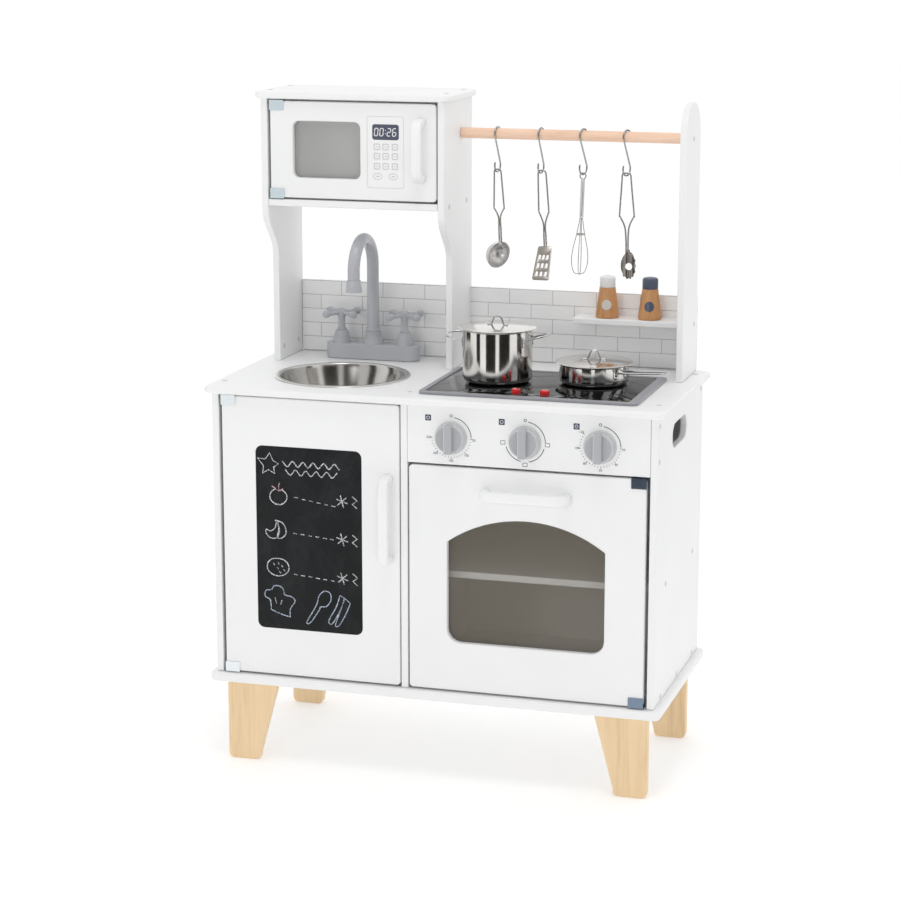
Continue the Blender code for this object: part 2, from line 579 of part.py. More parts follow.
def hob_buttons():
    """Push buttons: a cap through the glass, and a flange under it that keeps it in."""
    flange_top = WORKTOP_TOP - 0.0006 - GAP
    profile = [(0, BUTTON_TOP), (BUTTON_R - 0.0012, BUTTON_TOP), (BUTTON_R, BUTTON_TOP - 0.0012),
               (BUTTON_R, flange_top), (BUTTON_R + 0.0016, flange_top), (BUTTON_R + 0.0016, flange_top - 0.0020),
               (0.0030, flange_top - 0.0020), (0.0030, flange_top - 0.0080), (0, flange_top - 0.0080)]
    for x, side in zip(BUTTON_X, ("left", "right")):
        at = Vector((x, BUTTON_Y, BUTTON_TOP))
        mesh = moved(turned_mesh(profile, 20), Matrix.Translation((0, 0, -at.z)))
        add(f"hob_button_{side}", mesh, RED, at)


def sink():
    """A pressed steel bowl whose rim rests on the worktop."""
    rim, wall = WORKTOP_TOP + GAP, 0.0009
    outer_r, bottom_r, bend = SINK_HOLE_R - 0.0012, 0.0560, 0.0120
    floor = SINK_BOTTOM
    inside = [(0, floor + wall)] + arc(bottom_r, floor + bend, bend - wall, 270, 345, 3)
    outside = [(0, floor)] + arc(bottom_r, floor + bend, bend, 270, 345, 3)
    loop = [(SINK_RIM_R, rim + 0.0007), (SINK_RIM_R, rim), (outer_r, rim), (outer_r - 0.0010, rim - 0.0060)]
    loop += list(reversed(outside)) + inside
    loop += [(outer_r - 0.0022, rim - 0.0060), (outer_r - 0.0016, rim + 0.0012), (SINK_RIM_R - 0.0010, rim + 0.0014)]
    # The two ends on the axis are closed by the ring's own seam, so the loop is cut there.
    start = loop.index((0, floor))
    ordered = loop[start + 1:] + loop[:start + 1]
    basin = turned_open(ordered, 36)
    add("sink_basin", moved(basin, Matrix.Translation((*SINK, 0))), STEEL)


def turned_open(profile, steps):
    """A turned shell whose profile starts and ends on the axis."""
    mesh = bpy.data.meshes.new("shell")
    work = bmesh.new()
    ring = [work.verts.new((r, 0, z)) for r, z in profile]
    for a, b in zip(ring, ring[1:]):
        work.edges.new((a, b))
    work.to_mesh(mesh)
    work.free()
    guide = bpy.data.objects.new("shell", mesh)
    bpy.context.scene.collection.objects.link(guide)
    screw = guide.modifiers.new("Screw", "SCREW")
    screw.steps = screw.render_steps = steps
    screw.use_merge_vertices = True
    screw.merge_threshold = 1e-6
    graph = bpy.context.evaluated_depsgraph_get()
    made = bpy.data.meshes.new_from_object(guide.evaluated_get(graph))
    bpy.data.objects.remove(guide)
    work = bmesh.new()
    work.from_mesh(made)
    bmesh.ops.recalc_face_normals(work, faces=work.faces)
    work.to_mesh(made)
    work.free()
    made.shade_smooth()
    made.set_sharp_from_angle(angle=math.radians(40))
    return made


def tap():
    """The block with its three bells, the turning spout and the two cross handles."""
    length, depth, height = TAP_BLOCK
    low = WORKTOP_TOP + GAP
    top = low + height
    block = plate("tap_block", [round_rect(TAP_X - length / 2, TAP_X + length / 2, TAP_Y - depth / 2,
                                           TAP_Y + depth / 2, depth / 2 - 1e-5, 5)], low, top, "XY", GREY, 0.001)
    side_bell = [(0, TAP_SEAM), (0.0062, TAP_SEAM), (0.0072, 0.5345), (0.0098, 0.5255), (0.0108, top - 0.001),
                 (0, top - 0.001)]
    middle_bell = [(0, TAP_SEAM), (0.0096, TAP_SEAM), (0.0102, 0.5345), (0.0116, 0.5265), (0.0125, top - 0.001),
                   (0, top - 0.001)]
    bells = [moved(turned_mesh(middle_bell, 20), Matrix.Translation((TAP_X, TAP_Y, 0)))]
    for side in (-1, 1):
        bells.append(moved(turned_mesh(side_bell, 16), Matrix.Translation((TAP_X + side * TAP_PITCH, TAP_Y, 0))))
    combine(block, bells)

    foot = TAP_SEAM + GAP
    column = [(0, 0, 0), (0, 0, 0.0450)]
    column += [(0, y, z - foot) for y, z in arc(-TAP_ARC_R, TAP_ARC_Z, TAP_ARC_R, 0, 180, 14)]
    column += [(0, -2 * TAP_ARC_R, 0.6140 - foot)]
    at = Vector((TAP_X, TAP_Y, foot))
    spout = add("tap_spout", tube_mesh(column, TAP_TUBE_R, sides=4), GREY, at)
    collar = turned_mesh([(0, 0.6175), (0.0093, 0.6175), (0.0107, 0.6020), (0.0085, 0.6020), (0.0080, 0.6080),
                          (0, 0.6080)], 20)
    combine(spout, [moved(collar, Matrix.Translation((0, -2 * TAP_ARC_R, -at.z)))])

    for side, side_name in ((-1, "left"), (1, "right")):
        at = Vector((TAP_X + side * TAP_PITCH, TAP_Y, foot))
        stem = [(0, 0.0270), (0.0044, 0.0270), (0.0050, 0.0190), (0.0045, 0.0165), (0.0045, 0), (0, 0)]
        handle = add(f"tap_cross_{side_name}", turned_mesh(stem, 14), GREY, at)
        arms = []
        for quarter in range(2):
            turn = CROSS_TURN + quarter * math.pi / 2
            reach = Vector((math.cos(turn), math.sin(turn), 0)) * CROSS_ARM
            middle = Vector((0, 0, CROSS_Z - at.z - quarter * 0.0003))
            arms.append(tube_mesh([middle - reach, middle + reach], 0.0026 + quarter * 0.0001))
            arms += [ball_mesh(middle + reach * sign, 0.0050, 5, 8) for sign in (-1, 1)]
        combine(handle, arms)


# ---- Cookware -------------------------------------------------------------------------------------

def vessel_profile(top, radius, bend):
    """A straight-sided pan with a rounded foot and a rolled rim."""
    wall = WALL
    outside = [(radius + 0.0012, top), (radius + 0.0012, top - 0.0010), (radius, top - 0.0018)]
    outside += [(u, v) for u, v in arc(radius - bend, STAND + bend, bend, 0, -90, 3)]
    inside = arc(radius - bend, STAND + bend, bend - wall, 270, 360, 3)
    return [(0, STAND + wall)] + inside + [(radius - wall, top)] + outside + [(0, STAND)]


def lid_profile(seat, radius):
    """A shallow domed lid with a rolled edge."""
    return [(0, seat + 0.0036), (radius * 0.45, seat + 0.0031), (radius * 0.86, seat + 0.0018),
            (radius - 0.0010, seat + 0.0016), (radius, seat + 0.0010), (radius - 0.0008, seat + 0.0004),
            (radius * 0.86, seat + 0.0005), (radius * 0.45, seat + 0.0018), (0, seat + 0.0023)]


def arch_points(rise, base_z, turn):
    """A wire grip that stands on a lid, its two feet bent outwards."""
    half = [(0.0138, 0.0), (0.0088, 0.0002), (0.0066, 0.42), (0.0042, 0.86), (0.0020, 0.98)]
    flat = [(-u, v) for u, v in half] + [(u, v) for u, v in reversed(half)]
    return [(u * math.cos(turn), u * math.sin(turn), base_z + v * rise) for u, v in flat]


def lid(name, at, seat, rise, turn, parent):
    body = add(name, turned_open(lid_profile(0, LID_R), 28), STEEL, (0, 0, seat - STAND), parent)
    combine(body, [tube_mesh(arch_points(rise, 0.0040, turn), WIRE_R)])
    return body


def side_loop(turn, attach_r, spread, reach, z, rise, twist):
    """A wire loop standing out from a vessel's side, as points. Twist lowers one of its two roots."""
    rough = [(attach_r - 0.0030, -spread), (attach_r + reach * 0.55, -spread * 0.98),
             (attach_r + reach * 0.90, -spread * 0.62), (attach_r + reach, 0)]
    rough += [(u, -v) for u, v in reversed(rough[:-1])]
    start, end = rough[0][0], attach_r + reach
    points = []
    for u, v in rough:
        level = z + rise * (u - start) / (end - start) - twist * v / spread
        points.append((u * math.cos(turn) - v * math.sin(turn), u * math.sin(turn) + v * math.cos(turn), level))
    return points


def cookware():
    pot = add("stock_pot", moved(turned_open(vessel_profile(POT_TOP, POT_R, 0.0080), 28),
                                 Matrix.Translation((0, 0, -STAND))), STEEL, (*POT, STAND))
    loops = []
    for turn, root, rise, twist in ((0.0, 0.5605, 0.0070, 0.0), (math.pi, 0.5590, 0.0010, 0.0022)):
        loops.append(tube_mesh(side_loop(POT_HANDLE_TURN + turn, POT_R, 0.0150, 0.0250, root - STAND, rise, twist),
                               WIRE_R))
    combine(pot, loops)
    lid("stock_pot_lid", POT, POT_TOP + GAP, 0.0110, math.radians(-4), pot)
    pan = add("frying_pan", moved(turned_open(vessel_profile(PAN_TOP, POT_R, 0.0080), 28),
                                  Matrix.Translation((0, 0, -STAND))), STEEL, (*PAN, STAND))
    handle = [(POT_R - 0.0035, -0.0095), (0.0850, -0.0090), (0.1140, -0.0085), (0.1205, -0.0050), (0.1225, 0.0)]
    handle += [(u, -v) for u, v in reversed(handle[:-1])]
    turn = PAN_HANDLE_TURN
    path = [(u * math.cos(turn) - v * math.sin(turn), u * math.sin(turn) + v * math.cos(turn),
             0.0192 + 0.0095 * (u - POT_R) / 0.0780) for u, v in handle]
    combine(pan, [tube_mesh(path, WIRE_R)])
    lid("frying_pan_lid", PAN, PAN_TOP + GAP, 0.0110, math.radians(10), pan)


# ---- Hooks, tools and shakers ---------------------------------------------------------------------

def hook_points(turn):
    """An S hook: its upper bend goes round the rail, and its lower bend opens at the front."""
    flat = arc(0, 0, HOOK_BEND, -35, 195, 12)
    flat += arc(0, -HOOK_DROP, HOOK_BEND, 15, -205, 11)
    return [(y * math.sin(turn), y * math.cos(turn), z) for y, z in flat]


def loop_handle(top_half, wide_half, wide_z, neck_z, end_z, lean, open_neck=0.0014):
    """The bent wire of a kitchen tool: a long loop that narrows into a double stem, as points in X-Z.
    Each point is shifted by lean times its depth below the hook."""
    half = [(0.0014, end_z), (open_neck, neck_z), (wide_half, wide_z), (top_half, -0.0040), (top_half * 0.6, 0.0)]
    flat = [(-u, v) for u, v in half] + [(u, v) for u, v in reversed(half)]
    return [(u - lean * v, 0, v) for u, v in flat]


def ladle(parent):
    lean = 0.045
    wire = tube_mesh(loop_handle(0.0046, 0.0068, -0.0485, -0.0620, -0.0955, lean), HOOK_WIRE)
    tool = add("ladle", wire, STEEL, (0, 0, TOOL_DROP), parent)
    radius, depth = 0.0172, 0.0160
    ball_r = (radius ** 2 + depth ** 2) / (2 * depth)
    reach = math.degrees(math.asin(radius / ball_r))
    outside = arc(0, ball_r - depth, ball_r, 270, 270 + reach, 5)
    inside = arc(0, ball_r - depth, ball_r - 0.0010, 270 + reach, 270, 5)
    outside[0], inside[-1] = (0, outside[0][1]), (0, inside[-1][1])
    bowl = turned_open(list(reversed(outside + inside)), 20)
    # The mouth faces right, forwards and a little down, and the stem is fixed to its upper edge.
    facing = Vector((0.80, -0.54, -0.22)).normalized()
    turn = facing.to_track_quat("Z", "Y").to_matrix().to_4x4()
    bowl.transform(Matrix.Translation((0.0030, 0.0015, -0.1120)) @ turn)
    combine(tool, [bowl])


def turner(parent):
    lean = 0.055
    aside = Matrix.Translation((0.0014, 0, 0))   # its loop doesn't hang quite in the middle of the hook
    wire = tube_mesh(loop_handle(0.0052, 0.0067, -0.0515, -0.0685, -0.1015, lean), HOOK_WIRE)
    tool = add("slotted_turner", moved(wire, aside), STEEL, (0, 0, TOOL_DROP), parent)
    top_half, foot_half, tall, thick, tilt = 0.0092, 0.0112, 0.0480, 0.0010, math.radians(-31)
    slots = []
    for row in range(3):
        for column in (-1, 0, 1):
            x, z = column * (0.0052 + row * 0.0004), -0.0155 - row * 0.0118
            slots.append(round_rect(x - 0.0015, x + 0.0015, z - 0.0035, z + 0.0035, 0.0012, 1))
    corner = 0.0025
    edge = [(-foot_half + corner, -tall), (foot_half - corner, -tall), (foot_half, -tall + corner),
            (top_half, -corner), (top_half - corner, 0), (-top_half + corner, 0), (-top_half, -corner),
            (-foot_half, -tall + corner)]
    blade = plate_mesh("blade", [edge] + slots, -thick / 2, thick / 2, "XZ", 0.0002)
    blade.transform(Matrix.Translation((0.0066, 0, -0.0985)) @ Matrix.Rotation(tilt, 4, "X"))
    combine(tool, [blade])


def whisk(parent):
    """A tube handle on a ring, and two crossed wire loops held by a band."""
    ring = tube_mesh([(u, 0, v) for u, v in circle(0, -0.0050, 0.0040, 14)], 0.0008, closed=True)
    tool = add("whisk", ring, STEEL, (0, 0, TOOL_DROP), parent)
    wires = [turned_mesh([(0, -0.0083), (0.0027, -0.0090), (0.0027, -0.0590), (0, -0.0600)], 12)]
    bulb = [(0.0010, -0.056), (0.0048, -0.079), (0.0090, -0.098), (0.0106, -0.112), (0.0092, -0.125)]
    outline = bulb + [(0.0050, -0.1320), (-0.0050, -0.1320)] + [(-u, v) for u, v in reversed(bulb)]
    for turn, drop in ((math.radians(20), 0.0), (math.radians(113), 0.0006)):
        wires.append(tube_mesh([(u * math.cos(turn), u * math.sin(turn), v - drop) for u, v in outline], 0.0007))
    wires.append(tube_mesh([(u, v, -0.0808) for u, v in circle(0, 0, 0.0054, 15)], 0.0009, closed=True))
    combine(tool, wires)
    # The whisk hangs a little to the left.
    lean = Matrix.Identity(4)
    lean[0][2] = 0.030
    for piece in [tool] + [m.object for m in tool.modifiers]:
        piece.data.transform(lean)


def pasta_server(parent):
    lean = 0.022
    wire = tube_mesh(loop_handle(0.0058, 0.0096, -0.0530, -0.0690, -0.1035, lean, 0.0029), HOOK_WIRE)
    tool = add("pasta_server", wire, STEEL, (0, 0, TOOL_DROP), parent)
    steps, half, tall, middle = 14, 0.0094, 0.0172, -0.1185
    edge = []
    for i in range(steps * 2):
        turn = math.pi / 2 + math.pi * i / steps
        comb = 0.0016 if i % 2 and 3 < i < 25 else 0.0
        edge.append(((half + comb) * math.cos(turn), (tall + comb) * math.sin(turn)))
    bowl = plate_mesh("comb", [edge, circle(0, -0.0020, 0.0046, 14)], -0.0005, 0.0005, "XZ", 0.0001)
    work = bmesh.new()
    work.from_mesh(bowl)
    for vert in work.verts:
        vert.co.y -= 0.0062 * (vert.co.x / half) ** 2
    work.to_mesh(bowl)
    work.free()
    bowl.transform(Matrix.Translation((0.0050, 0, middle)))
    combine(tool, [bowl])


def hanging_tools():
    makers = (ladle, turner, whisk, pasta_server)
    for number, (x, turn, maker) in enumerate(zip(HOOK_X, HOOK_TURN, makers), 1):
        hook = add(f"hook_{number}", tube_mesh(hook_points(turn), HOOK_WIRE), CHROME, (x, RAIL_Y, RAIL_Z))
        hanger = pivot(f"hanger_{number}", (0, 0, -HOOK_DROP - HOOK_BEND), hook)
        maker(hanger)


def shakers():
    """Turned shakers with a domed cap, standing on the spice shelf."""
    foot = SPICE_TOP + GAP
    for x, name in zip(SHAKER_X, ("salt_shaker", "pepper_shaker")):
        profile = [(0, SHAKER_HEIGHT), (0.0070, SHAKER_HEIGHT - 0.0004), (SHAKER_NECK_R - 0.0008, SHAKER_HEIGHT - 0.0022),
                   (SHAKER_NECK_R, SHAKER_HEIGHT - 0.0040), (SHAKER_NECK_R, 0.0420), (0.0118, 0.0300),
                   (SHAKER_FOOT_R - 0.0006, 0.0040), (SHAKER_FOOT_R, 0.0020), (SHAKER_FOOT_R - 0.0008, 0), (0, 0)]
        add(name, turned_mesh(profile, 24), TURNED, (x, SHAKER_Y, foot))


legs()
cabinet()
worktop()
tower()
back_wall()
doors()
knobs()
hob()
hob_buttons()
sink()
tap()
cookware()
hanging_tools()
shakers()
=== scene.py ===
"""Toy kitchen: the looks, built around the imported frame. Metres, +Z up, front towards -Y."""

import math
import random

import bmesh
import bpy
from mathutils import Matrix, Vector


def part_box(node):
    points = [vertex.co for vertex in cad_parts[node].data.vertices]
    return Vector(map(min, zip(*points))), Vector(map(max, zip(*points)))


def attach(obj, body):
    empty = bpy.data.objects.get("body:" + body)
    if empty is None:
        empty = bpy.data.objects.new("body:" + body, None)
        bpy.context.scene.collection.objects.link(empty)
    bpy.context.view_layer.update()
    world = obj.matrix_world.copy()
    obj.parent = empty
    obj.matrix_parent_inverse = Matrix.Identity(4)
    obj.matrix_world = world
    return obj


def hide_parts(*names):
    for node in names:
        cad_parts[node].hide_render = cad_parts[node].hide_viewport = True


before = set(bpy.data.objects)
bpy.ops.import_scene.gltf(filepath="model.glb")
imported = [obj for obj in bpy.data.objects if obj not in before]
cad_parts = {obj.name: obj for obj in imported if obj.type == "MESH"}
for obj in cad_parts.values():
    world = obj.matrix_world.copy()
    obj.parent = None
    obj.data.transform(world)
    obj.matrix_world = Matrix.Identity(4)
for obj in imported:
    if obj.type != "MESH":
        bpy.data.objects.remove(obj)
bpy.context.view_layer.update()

random.seed(7)
scene = bpy.context.scene

# The boards are laid out about the middle of the worktop, and everything is moved by SHIFT along Y.
worktop_low, worktop_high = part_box("worktop")
SHIFT = (worktop_low.y + worktop_high.y) / 2
WORKTOP = worktop_high.z
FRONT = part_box("cabinet_door")[0].y - SHIFT        # front face of the cabinet's doors
MICROWAVE_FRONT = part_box("microwave_door")[0].y - SHIFT
GAP = 0.0003           # clearance between pieces that would touch
PRINT = 0.00012        # how far a print stands proud
TINY = 1e-9


# ---- Materials --------------------------------------------------------------------------------------

def add_node(tree, kind, inputs=None, **settings):
    """A shader node. Each input is a value to set, or an output to join to it."""
    made = tree.nodes.new("ShaderNode" + kind)
    for name, value in settings.items():
        setattr(made, name, value)
    for socket, value in (inputs or {}).items():
        if isinstance(value, bpy.types.NodeSocket):
            tree.links.new(value, made.inputs[socket])
        else:
            made.inputs[socket].default_value = value
    return made


def feed(shader, **outputs):
    """Joins outputs to the shader's sockets."""
    for socket, output in outputs.items():
        shader.id_data.links.new(output, shader.inputs[socket.replace("_", " ")])


def new_material(name, colour, roughness, metallic=0.0, **sockets):
    made = bpy.data.materials.new(name)
    made.use_nodes = True
    shader = made.node_tree.nodes["Principled BSDF"]
    values = {"Base Color": (*colour, 1.0), "Roughness": roughness, "Metallic": metallic}
    values.update((socket.replace("_", " "), value) for socket, value in sockets.items())
    for socket, value in values.items():
        shader.inputs[socket].default_value = value
    return made, made.node_tree, shader


def space(tree, scale=(1, 1, 1), move=(0, 0, 0)):
    """The piece's own coordinates, in metres, scaled."""
    coords = add_node(tree, "TexCoord").outputs["Object"]
    return add_node(tree, "Mapping", {"Vector": coords, "Scale": scale, "Location": move}).outputs["Vector"]


def noise(tree, vector, scale, detail=3.0, rough=0.55, distortion=0.0):
    return add_node(tree, "TexNoise", {"Vector": vector, "Scale": scale, "Detail": detail,
                                       "Roughness": rough, "Distortion": distortion}).outputs["Fac"]


def ramp(tree, factor, stops):
    node = add_node(tree, "ValToRGB", {"Fac": factor})
    elements = node.color_ramp.elements
    while len(elements) < len(stops):
        elements.new(0.5)
    for element, (place, colour) in zip(elements, stops):
        element.position = place
        element.color = (*colour, 1.0)
    return node.outputs["Color"]


def level(tree, factor, low, high):
    """A number that runs from low to high as the factor runs from 0 to 1."""
    return add_node(tree, "MapRange", {"Value": factor, "To Min": low, "To Max": high}).outputs["Result"]


def relief(tree, shader, height, strength, distance=0.00004):
    node = add_node(tree, "Bump", {"Height": height, "Strength": strength, "Distance": distance})
    feed(shader, Normal=node.outputs["Normal"])


def tone(tree, shader, colour, spread, scale, edge):
    """A slow drift in tone. Returns the noise that drives it."""
    slow = noise(tree, space(tree), scale, 3.0)
    low = tuple(c * (1 - spread) for c in colour)
    high = tuple(min(1.0, c * (1 + spread)) for c in colour)
    feed(shader, Base_Color=ramp(tree, slow, [(edge, low), (1 - edge, high)]))
    return slow


def paint(name, colour, roughness=0.42, spread=0.012, peel=0.12):
    """Sprayed paint: a faint orange peel, and a slow drift in tone and gloss."""
    made, tree, shader = new_material(name, colour, roughness)
    slow = tone(tree, shader, colour, spread, 7.0, 0.35)
    feed(shader, Roughness=level(tree, slow, roughness - 0.05, roughness + 0.05))
    relief(tree, shader, noise(tree, space(tree), 900.0, 2.0), peel)
    return made


def wood(name, dark, light, stretch, roughness, fleck=0.25, rings=60.0):
    """Fine-grained wood. Stretch is the scale along each axis, smallest along the grain."""
    made, tree, shader = new_material(name, light, roughness)
    vector = space(tree, stretch)
    grain = noise(tree, vector, rings, 6.0, 0.6, 0.6)
    fine = noise(tree, vector, rings * 9, 4.0, 0.7)
    mix = add_node(tree, "Math", {0: fine, 1: fleck, 2: grain}, operation="MULTIPLY_ADD").outputs[0]
    middle = tuple((a + b * 2) / 3 for a, b in zip(dark, light))
    feed(shader, Base_Color=ramp(tree, mix, [(0.42, dark), (0.58, middle), (0.78, light)]),
         Roughness=level(tree, grain, roughness + 0.08, roughness - 0.06))
    relief(tree, shader, fine, 0.18, 0.0001)
    return made


def metal(name, colour, roughness, stretch, spread=0.05, marks=500.0):
    """Polished metal with hairline marks along one direction."""
    made, tree, shader = new_material(name, colour, roughness, 1.0)
    hairs = noise(tree, space(tree, stretch), marks, 3.0, 0.7)
    slow = noise(tree, space(tree), 35.0, 2.0)
    feed(shader, Roughness=level(tree, slow, roughness - spread / 2, roughness + spread / 2),
         Base_Color=ramp(tree, hairs, [(0.3, tuple(c * 0.93 for c in colour)), (0.7, colour)]))
    relief(tree, shader, hairs, 0.06, 0.00003)
    return made


def plastic(name, colour, roughness, spread=0.03, grain=0.1, **sockets):
    """Moulded plastic with a fine moulded texture."""
    made, tree, shader = new_material(name, colour, roughness, 0.0, **sockets)
    tone(tree, shader, colour, spread, 20.0, 0.3)
    relief(tree, shader, noise(tree, space(tree), 1500.0, 2.0), grain)
    return made


def tiled_paint():
    """The splash's print: pale tiles in running bond, with thin grey joints, on the front face only."""
    tile_wide, tile_high, joint = 0.0594, 0.01925, 0.00042
    made, tree, shader = new_material("tile_print", (0.88, 0.88, 0.88), 0.34)
    # Rows are counted down from just under the top edge, and joints across from the first full tile.
    split = add_node(tree, "SeparateXYZ", {0: space(tree, (1, 1, -1), (0.182, 0, 0.5975))}).outputs
    across = add_node(tree, "CombineXYZ", {"X": split["X"], "Y": split["Z"]}).outputs[0]
    brick = add_node(tree, "TexBrick", {
        "Vector": across, "Scale": 1.0, "Mortar Size": joint, "Mortar Smooth": 0.3, "Bias": 0.0,
        "Brick Width": tile_wide, "Row Height": tile_high, "Color1": (0.96, 0.96, 0.955, 1),
        "Color2": (0.93, 0.93, 0.93, 1), "Mortar": (0.42, 0.42, 0.43, 1)},
        offset=0.5, offset_frequency=2, squash=1.0)
    cloud = ramp(tree, noise(tree, space(tree), 30.0, 4.0), [(0.3, (0.96, 0.96, 0.965)), (0.7, (1, 1, 1))])
    tiles = add_node(tree, "Mix", data_type="RGBA", blend_type="MULTIPLY")
    low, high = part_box("backsplash")
    front = add_node(tree, "Math", {0: split["Y"], 1: (low.y + high.y) / 2}, operation="LESS_THAN")
    sided = add_node(tree, "Mix", {"Factor": front.outputs[0]}, data_type="RGBA")
    tiles.inputs["Factor"].default_value = 1.0
    sided.inputs[6].default_value = (0.86, 0.86, 0.86, 1)
    for output, socket in ((brick.outputs["Color"], tiles.inputs[6]), (cloud, tiles.inputs[7]),
                           (tiles.outputs[2], sided.inputs[7])):
        tree.links.new(output, socket)
    feed(shader, Base_Color=sided.outputs[2])
    relief(tree, shader, noise(tree, space(tree), 900.0, 2.0), 0.08)
    return made


def board_black():
    """Chalkboard film: matt black, with a haze of wiped chalk."""
    made, tree, shader = new_material("chalkboard_film", (0.01, 0.011, 0.012), 0.62, Specular_IOR_Level=0.25)
    haze = noise(tree, space(tree, (1, 1, 0.6)), 22.0, 8.0, 0.7, 0.8)
    feed(shader, Base_Color=ramp(tree, haze, [(0.45, (0.008, 0.009, 0.01)), (0.85, (0.03, 0.031, 0.033))]),
         Roughness=level(tree, haze, 0.52, 0.75))
    relief(tree, shader, noise(tree, space(tree), 1200.0, 3.0), 0.25, 0.00006)
    return made


def chalk(name, colour):
    """Chalk dust dragged over a rough board: it breaks up into grains."""
    made, tree, shader = new_material(name, colour, 0.95, Specular_IOR_Level=0.1)
    grains = noise(tree, space(tree), 850.0, 4.0, 0.75)
    feed(shader, Alpha=ramp(tree, grains, [(0.43, (0.12, 0.12, 0.12)), (0.56, (1, 1, 1))]))
    return made


WHITE = paint("white_paint", (0.885, 0.887, 0.888))
HANDLE_WHITE = paint("handle_white", (0.89, 0.892, 0.893), 0.33)
TILES = tiled_paint()
BIRCH = wood("birch", (0.74, 0.53, 0.3), (0.91, 0.69, 0.43), (1, 1, 0.06), 0.46)
BEECH = wood("beech_dowel", (0.7, 0.41, 0.26), (0.94, 0.67, 0.5), (0.05, 1, 1), 0.42, 0.35, 120.0)
TURNED = wood("turned_wood", (0.42, 0.18, 0.065), (0.62, 0.32, 0.13), (1, 1, 0.1), 0.36, 0.3, 130.0)
TAP_GREY = plastic("tap_grey", (0.47, 0.48, 0.51), 0.2)
KNOB_FACE = plastic("knob_face", (0.43, 0.435, 0.455), 0.38)
KNOB_RIM = plastic("knob_rim", (0.56, 0.565, 0.58), 0.35)
HOB_GREY = plastic("hob_grey", (0.3, 0.305, 0.33), 0.3)
RED = plastic("button_red", (0.72, 0.012, 0.01), 0.16, 0.02, 0.02, Coat_Weight=0.6, Coat_Roughness=0.05)
STEEL = metal("polished_steel", (0.74, 0.72, 0.69), 0.11, (1, 1, 0.04))
SINK_STEEL = metal("sink_steel", (0.7, 0.68, 0.65), 0.17, (1, 1, 0.2))
TOOL_STEEL = metal("tool_steel", (0.5, 0.48, 0.455), 0.22, (1, 1, 0.1))
SATIN_STEEL = metal("satin_steel", (0.84, 0.83, 0.81), 0.34, (1, 1, 0.1))
SMOKED_STEEL = metal("smoked_steel", (0.4, 0.365, 0.33), 0.27, (1, 1, 0.1))
CHROME = metal("bright_chrome", (0.7, 0.7, 0.71), 0.08, (1, 1, 0.1), 0.03)
# A darker copy of the bright chrome for the S-hooks: painted shade, standing in for the dark surroundings that
# the chrome reflects.
HOOK_CHROME_PAINTED_DARK = metal("hook_chrome", (0.4, 0.4, 0.4), 0.14, (1, 1, 1), 0.03)
# One chrome for all hinge clips, with a base colour per door that is a painted reflection: pale on the cabinet,
# dark slate on the oven, pale blue on the microwave.
CLIPS_PAINTED_REFLECTION = {"cabinet": metal("clip_chrome_painted_pale_reflection", (0.8, 0.85, 0.87), 0.24, (0.1, 1, 1), 0.06),
         "oven": metal("clip_chrome_painted_dark_reflection", (0.2, 0.26, 0.34), 0.2, (0.1, 1, 1), 0.06),
         "microwave": metal("clip_chrome_painted_blue_reflection", (0.66, 0.76, 0.8), 0.22, (0.1, 1, 1), 0.06)}
BOARD_BLACK = board_black()
CHALK = chalk("chalk_white", (0.72, 0.74, 0.76))
CHALK_PINK = chalk("chalk_pink", (0.7, 0.45, 0.48))
CHALK_BLUE = chalk("chalk_blue", (0.52, 0.6, 0.72))
# Dark ink for the dial marks, also used as painted shade for the shakers' holes.
INK = paint("ink_dark_and_hole_shade", (0.035, 0.037, 0.05), 0.5, 0.05, 0.05)
INK_NAVY = paint("ink_navy", (0.035, 0.045, 0.09), 0.4, 0.05, 0.05)
INK_PALE = paint("ink_pale", (0.6, 0.6, 0.61), 0.45, 0.03, 0.05)
INK_WHITE = paint("ink_white", (0.86, 0.87, 0.88), 0.45, 0.01, 0.05)
INK_GREY = paint("ink_grey", (0.16, 0.16, 0.17), 0.35, 0.05, 0.05)
DISPLAY = plastic("display_slate", (0.075, 0.085, 0.125), 0.22, 0.04, 0.03)
CAP_WHITE = paint("cap_white", (0.82, 0.82, 0.82), 0.28)
CAP_BLUE = paint("cap_blue", (0.085, 0.105, 0.16), 0.3, 0.05)
BADGE_GREY = paint("badge_grey", (0.62, 0.6, 0.56), 0.4, 0.03)
SCREW_CAP = plastic("screw_cap", (0.6, 0.605, 0.615), 0.4)
MAGNET = metal("magnet_nickel", (0.55, 0.55, 0.56), 0.28, (1, 1, 1))


def hob_glass():
    """Black printed glass with a few dust specks in its gloss."""
    made, tree, shader = new_material("hob_glass", (0.006, 0.006, 0.007), 0.035, IOR=1.5)
    dust = noise(tree, space(tree), 160.0, 5.0, 0.7)
    feed(shader, Roughness=level(tree, dust, 0.01, 0.075),
         Base_Color=ramp(tree, dust, [(0.6, (0.005, 0.005, 0.006)), (0.9, (0.02, 0.02, 0.021))]))
    return made


def clear_sheet(name, colour, cover):
    """Acrylic: mostly see-through, with a mirror gloss."""
    made, tree, shader = new_material(name, colour, 0.03, IOR=1.49, Alpha=cover)
    feed(shader, Roughness=level(tree, noise(tree, space(tree), 18.0, 4.0, 0.6), 0.02, 0.06))
    return made


HOB_GLASS = hob_glass()
CLEAR = clear_sheet("clear_acrylic", (0.78, 0.78, 0.76), 0.26)
SMOKED = clear_sheet("smoked_acrylic", (0.26, 0.225, 0.165), 0.24)


# ---- Meshes -----------------------------------------------------------------------------------------

def arc(cx, cy, radius, start, end, steps):
    """Points along an arc, angles in degrees."""
    turns = [math.radians(start + (end - start) * i / steps) for i in range(steps + 1)]
    return [(cx + radius * math.cos(t), cy + radius * math.sin(t)) for t in turns]


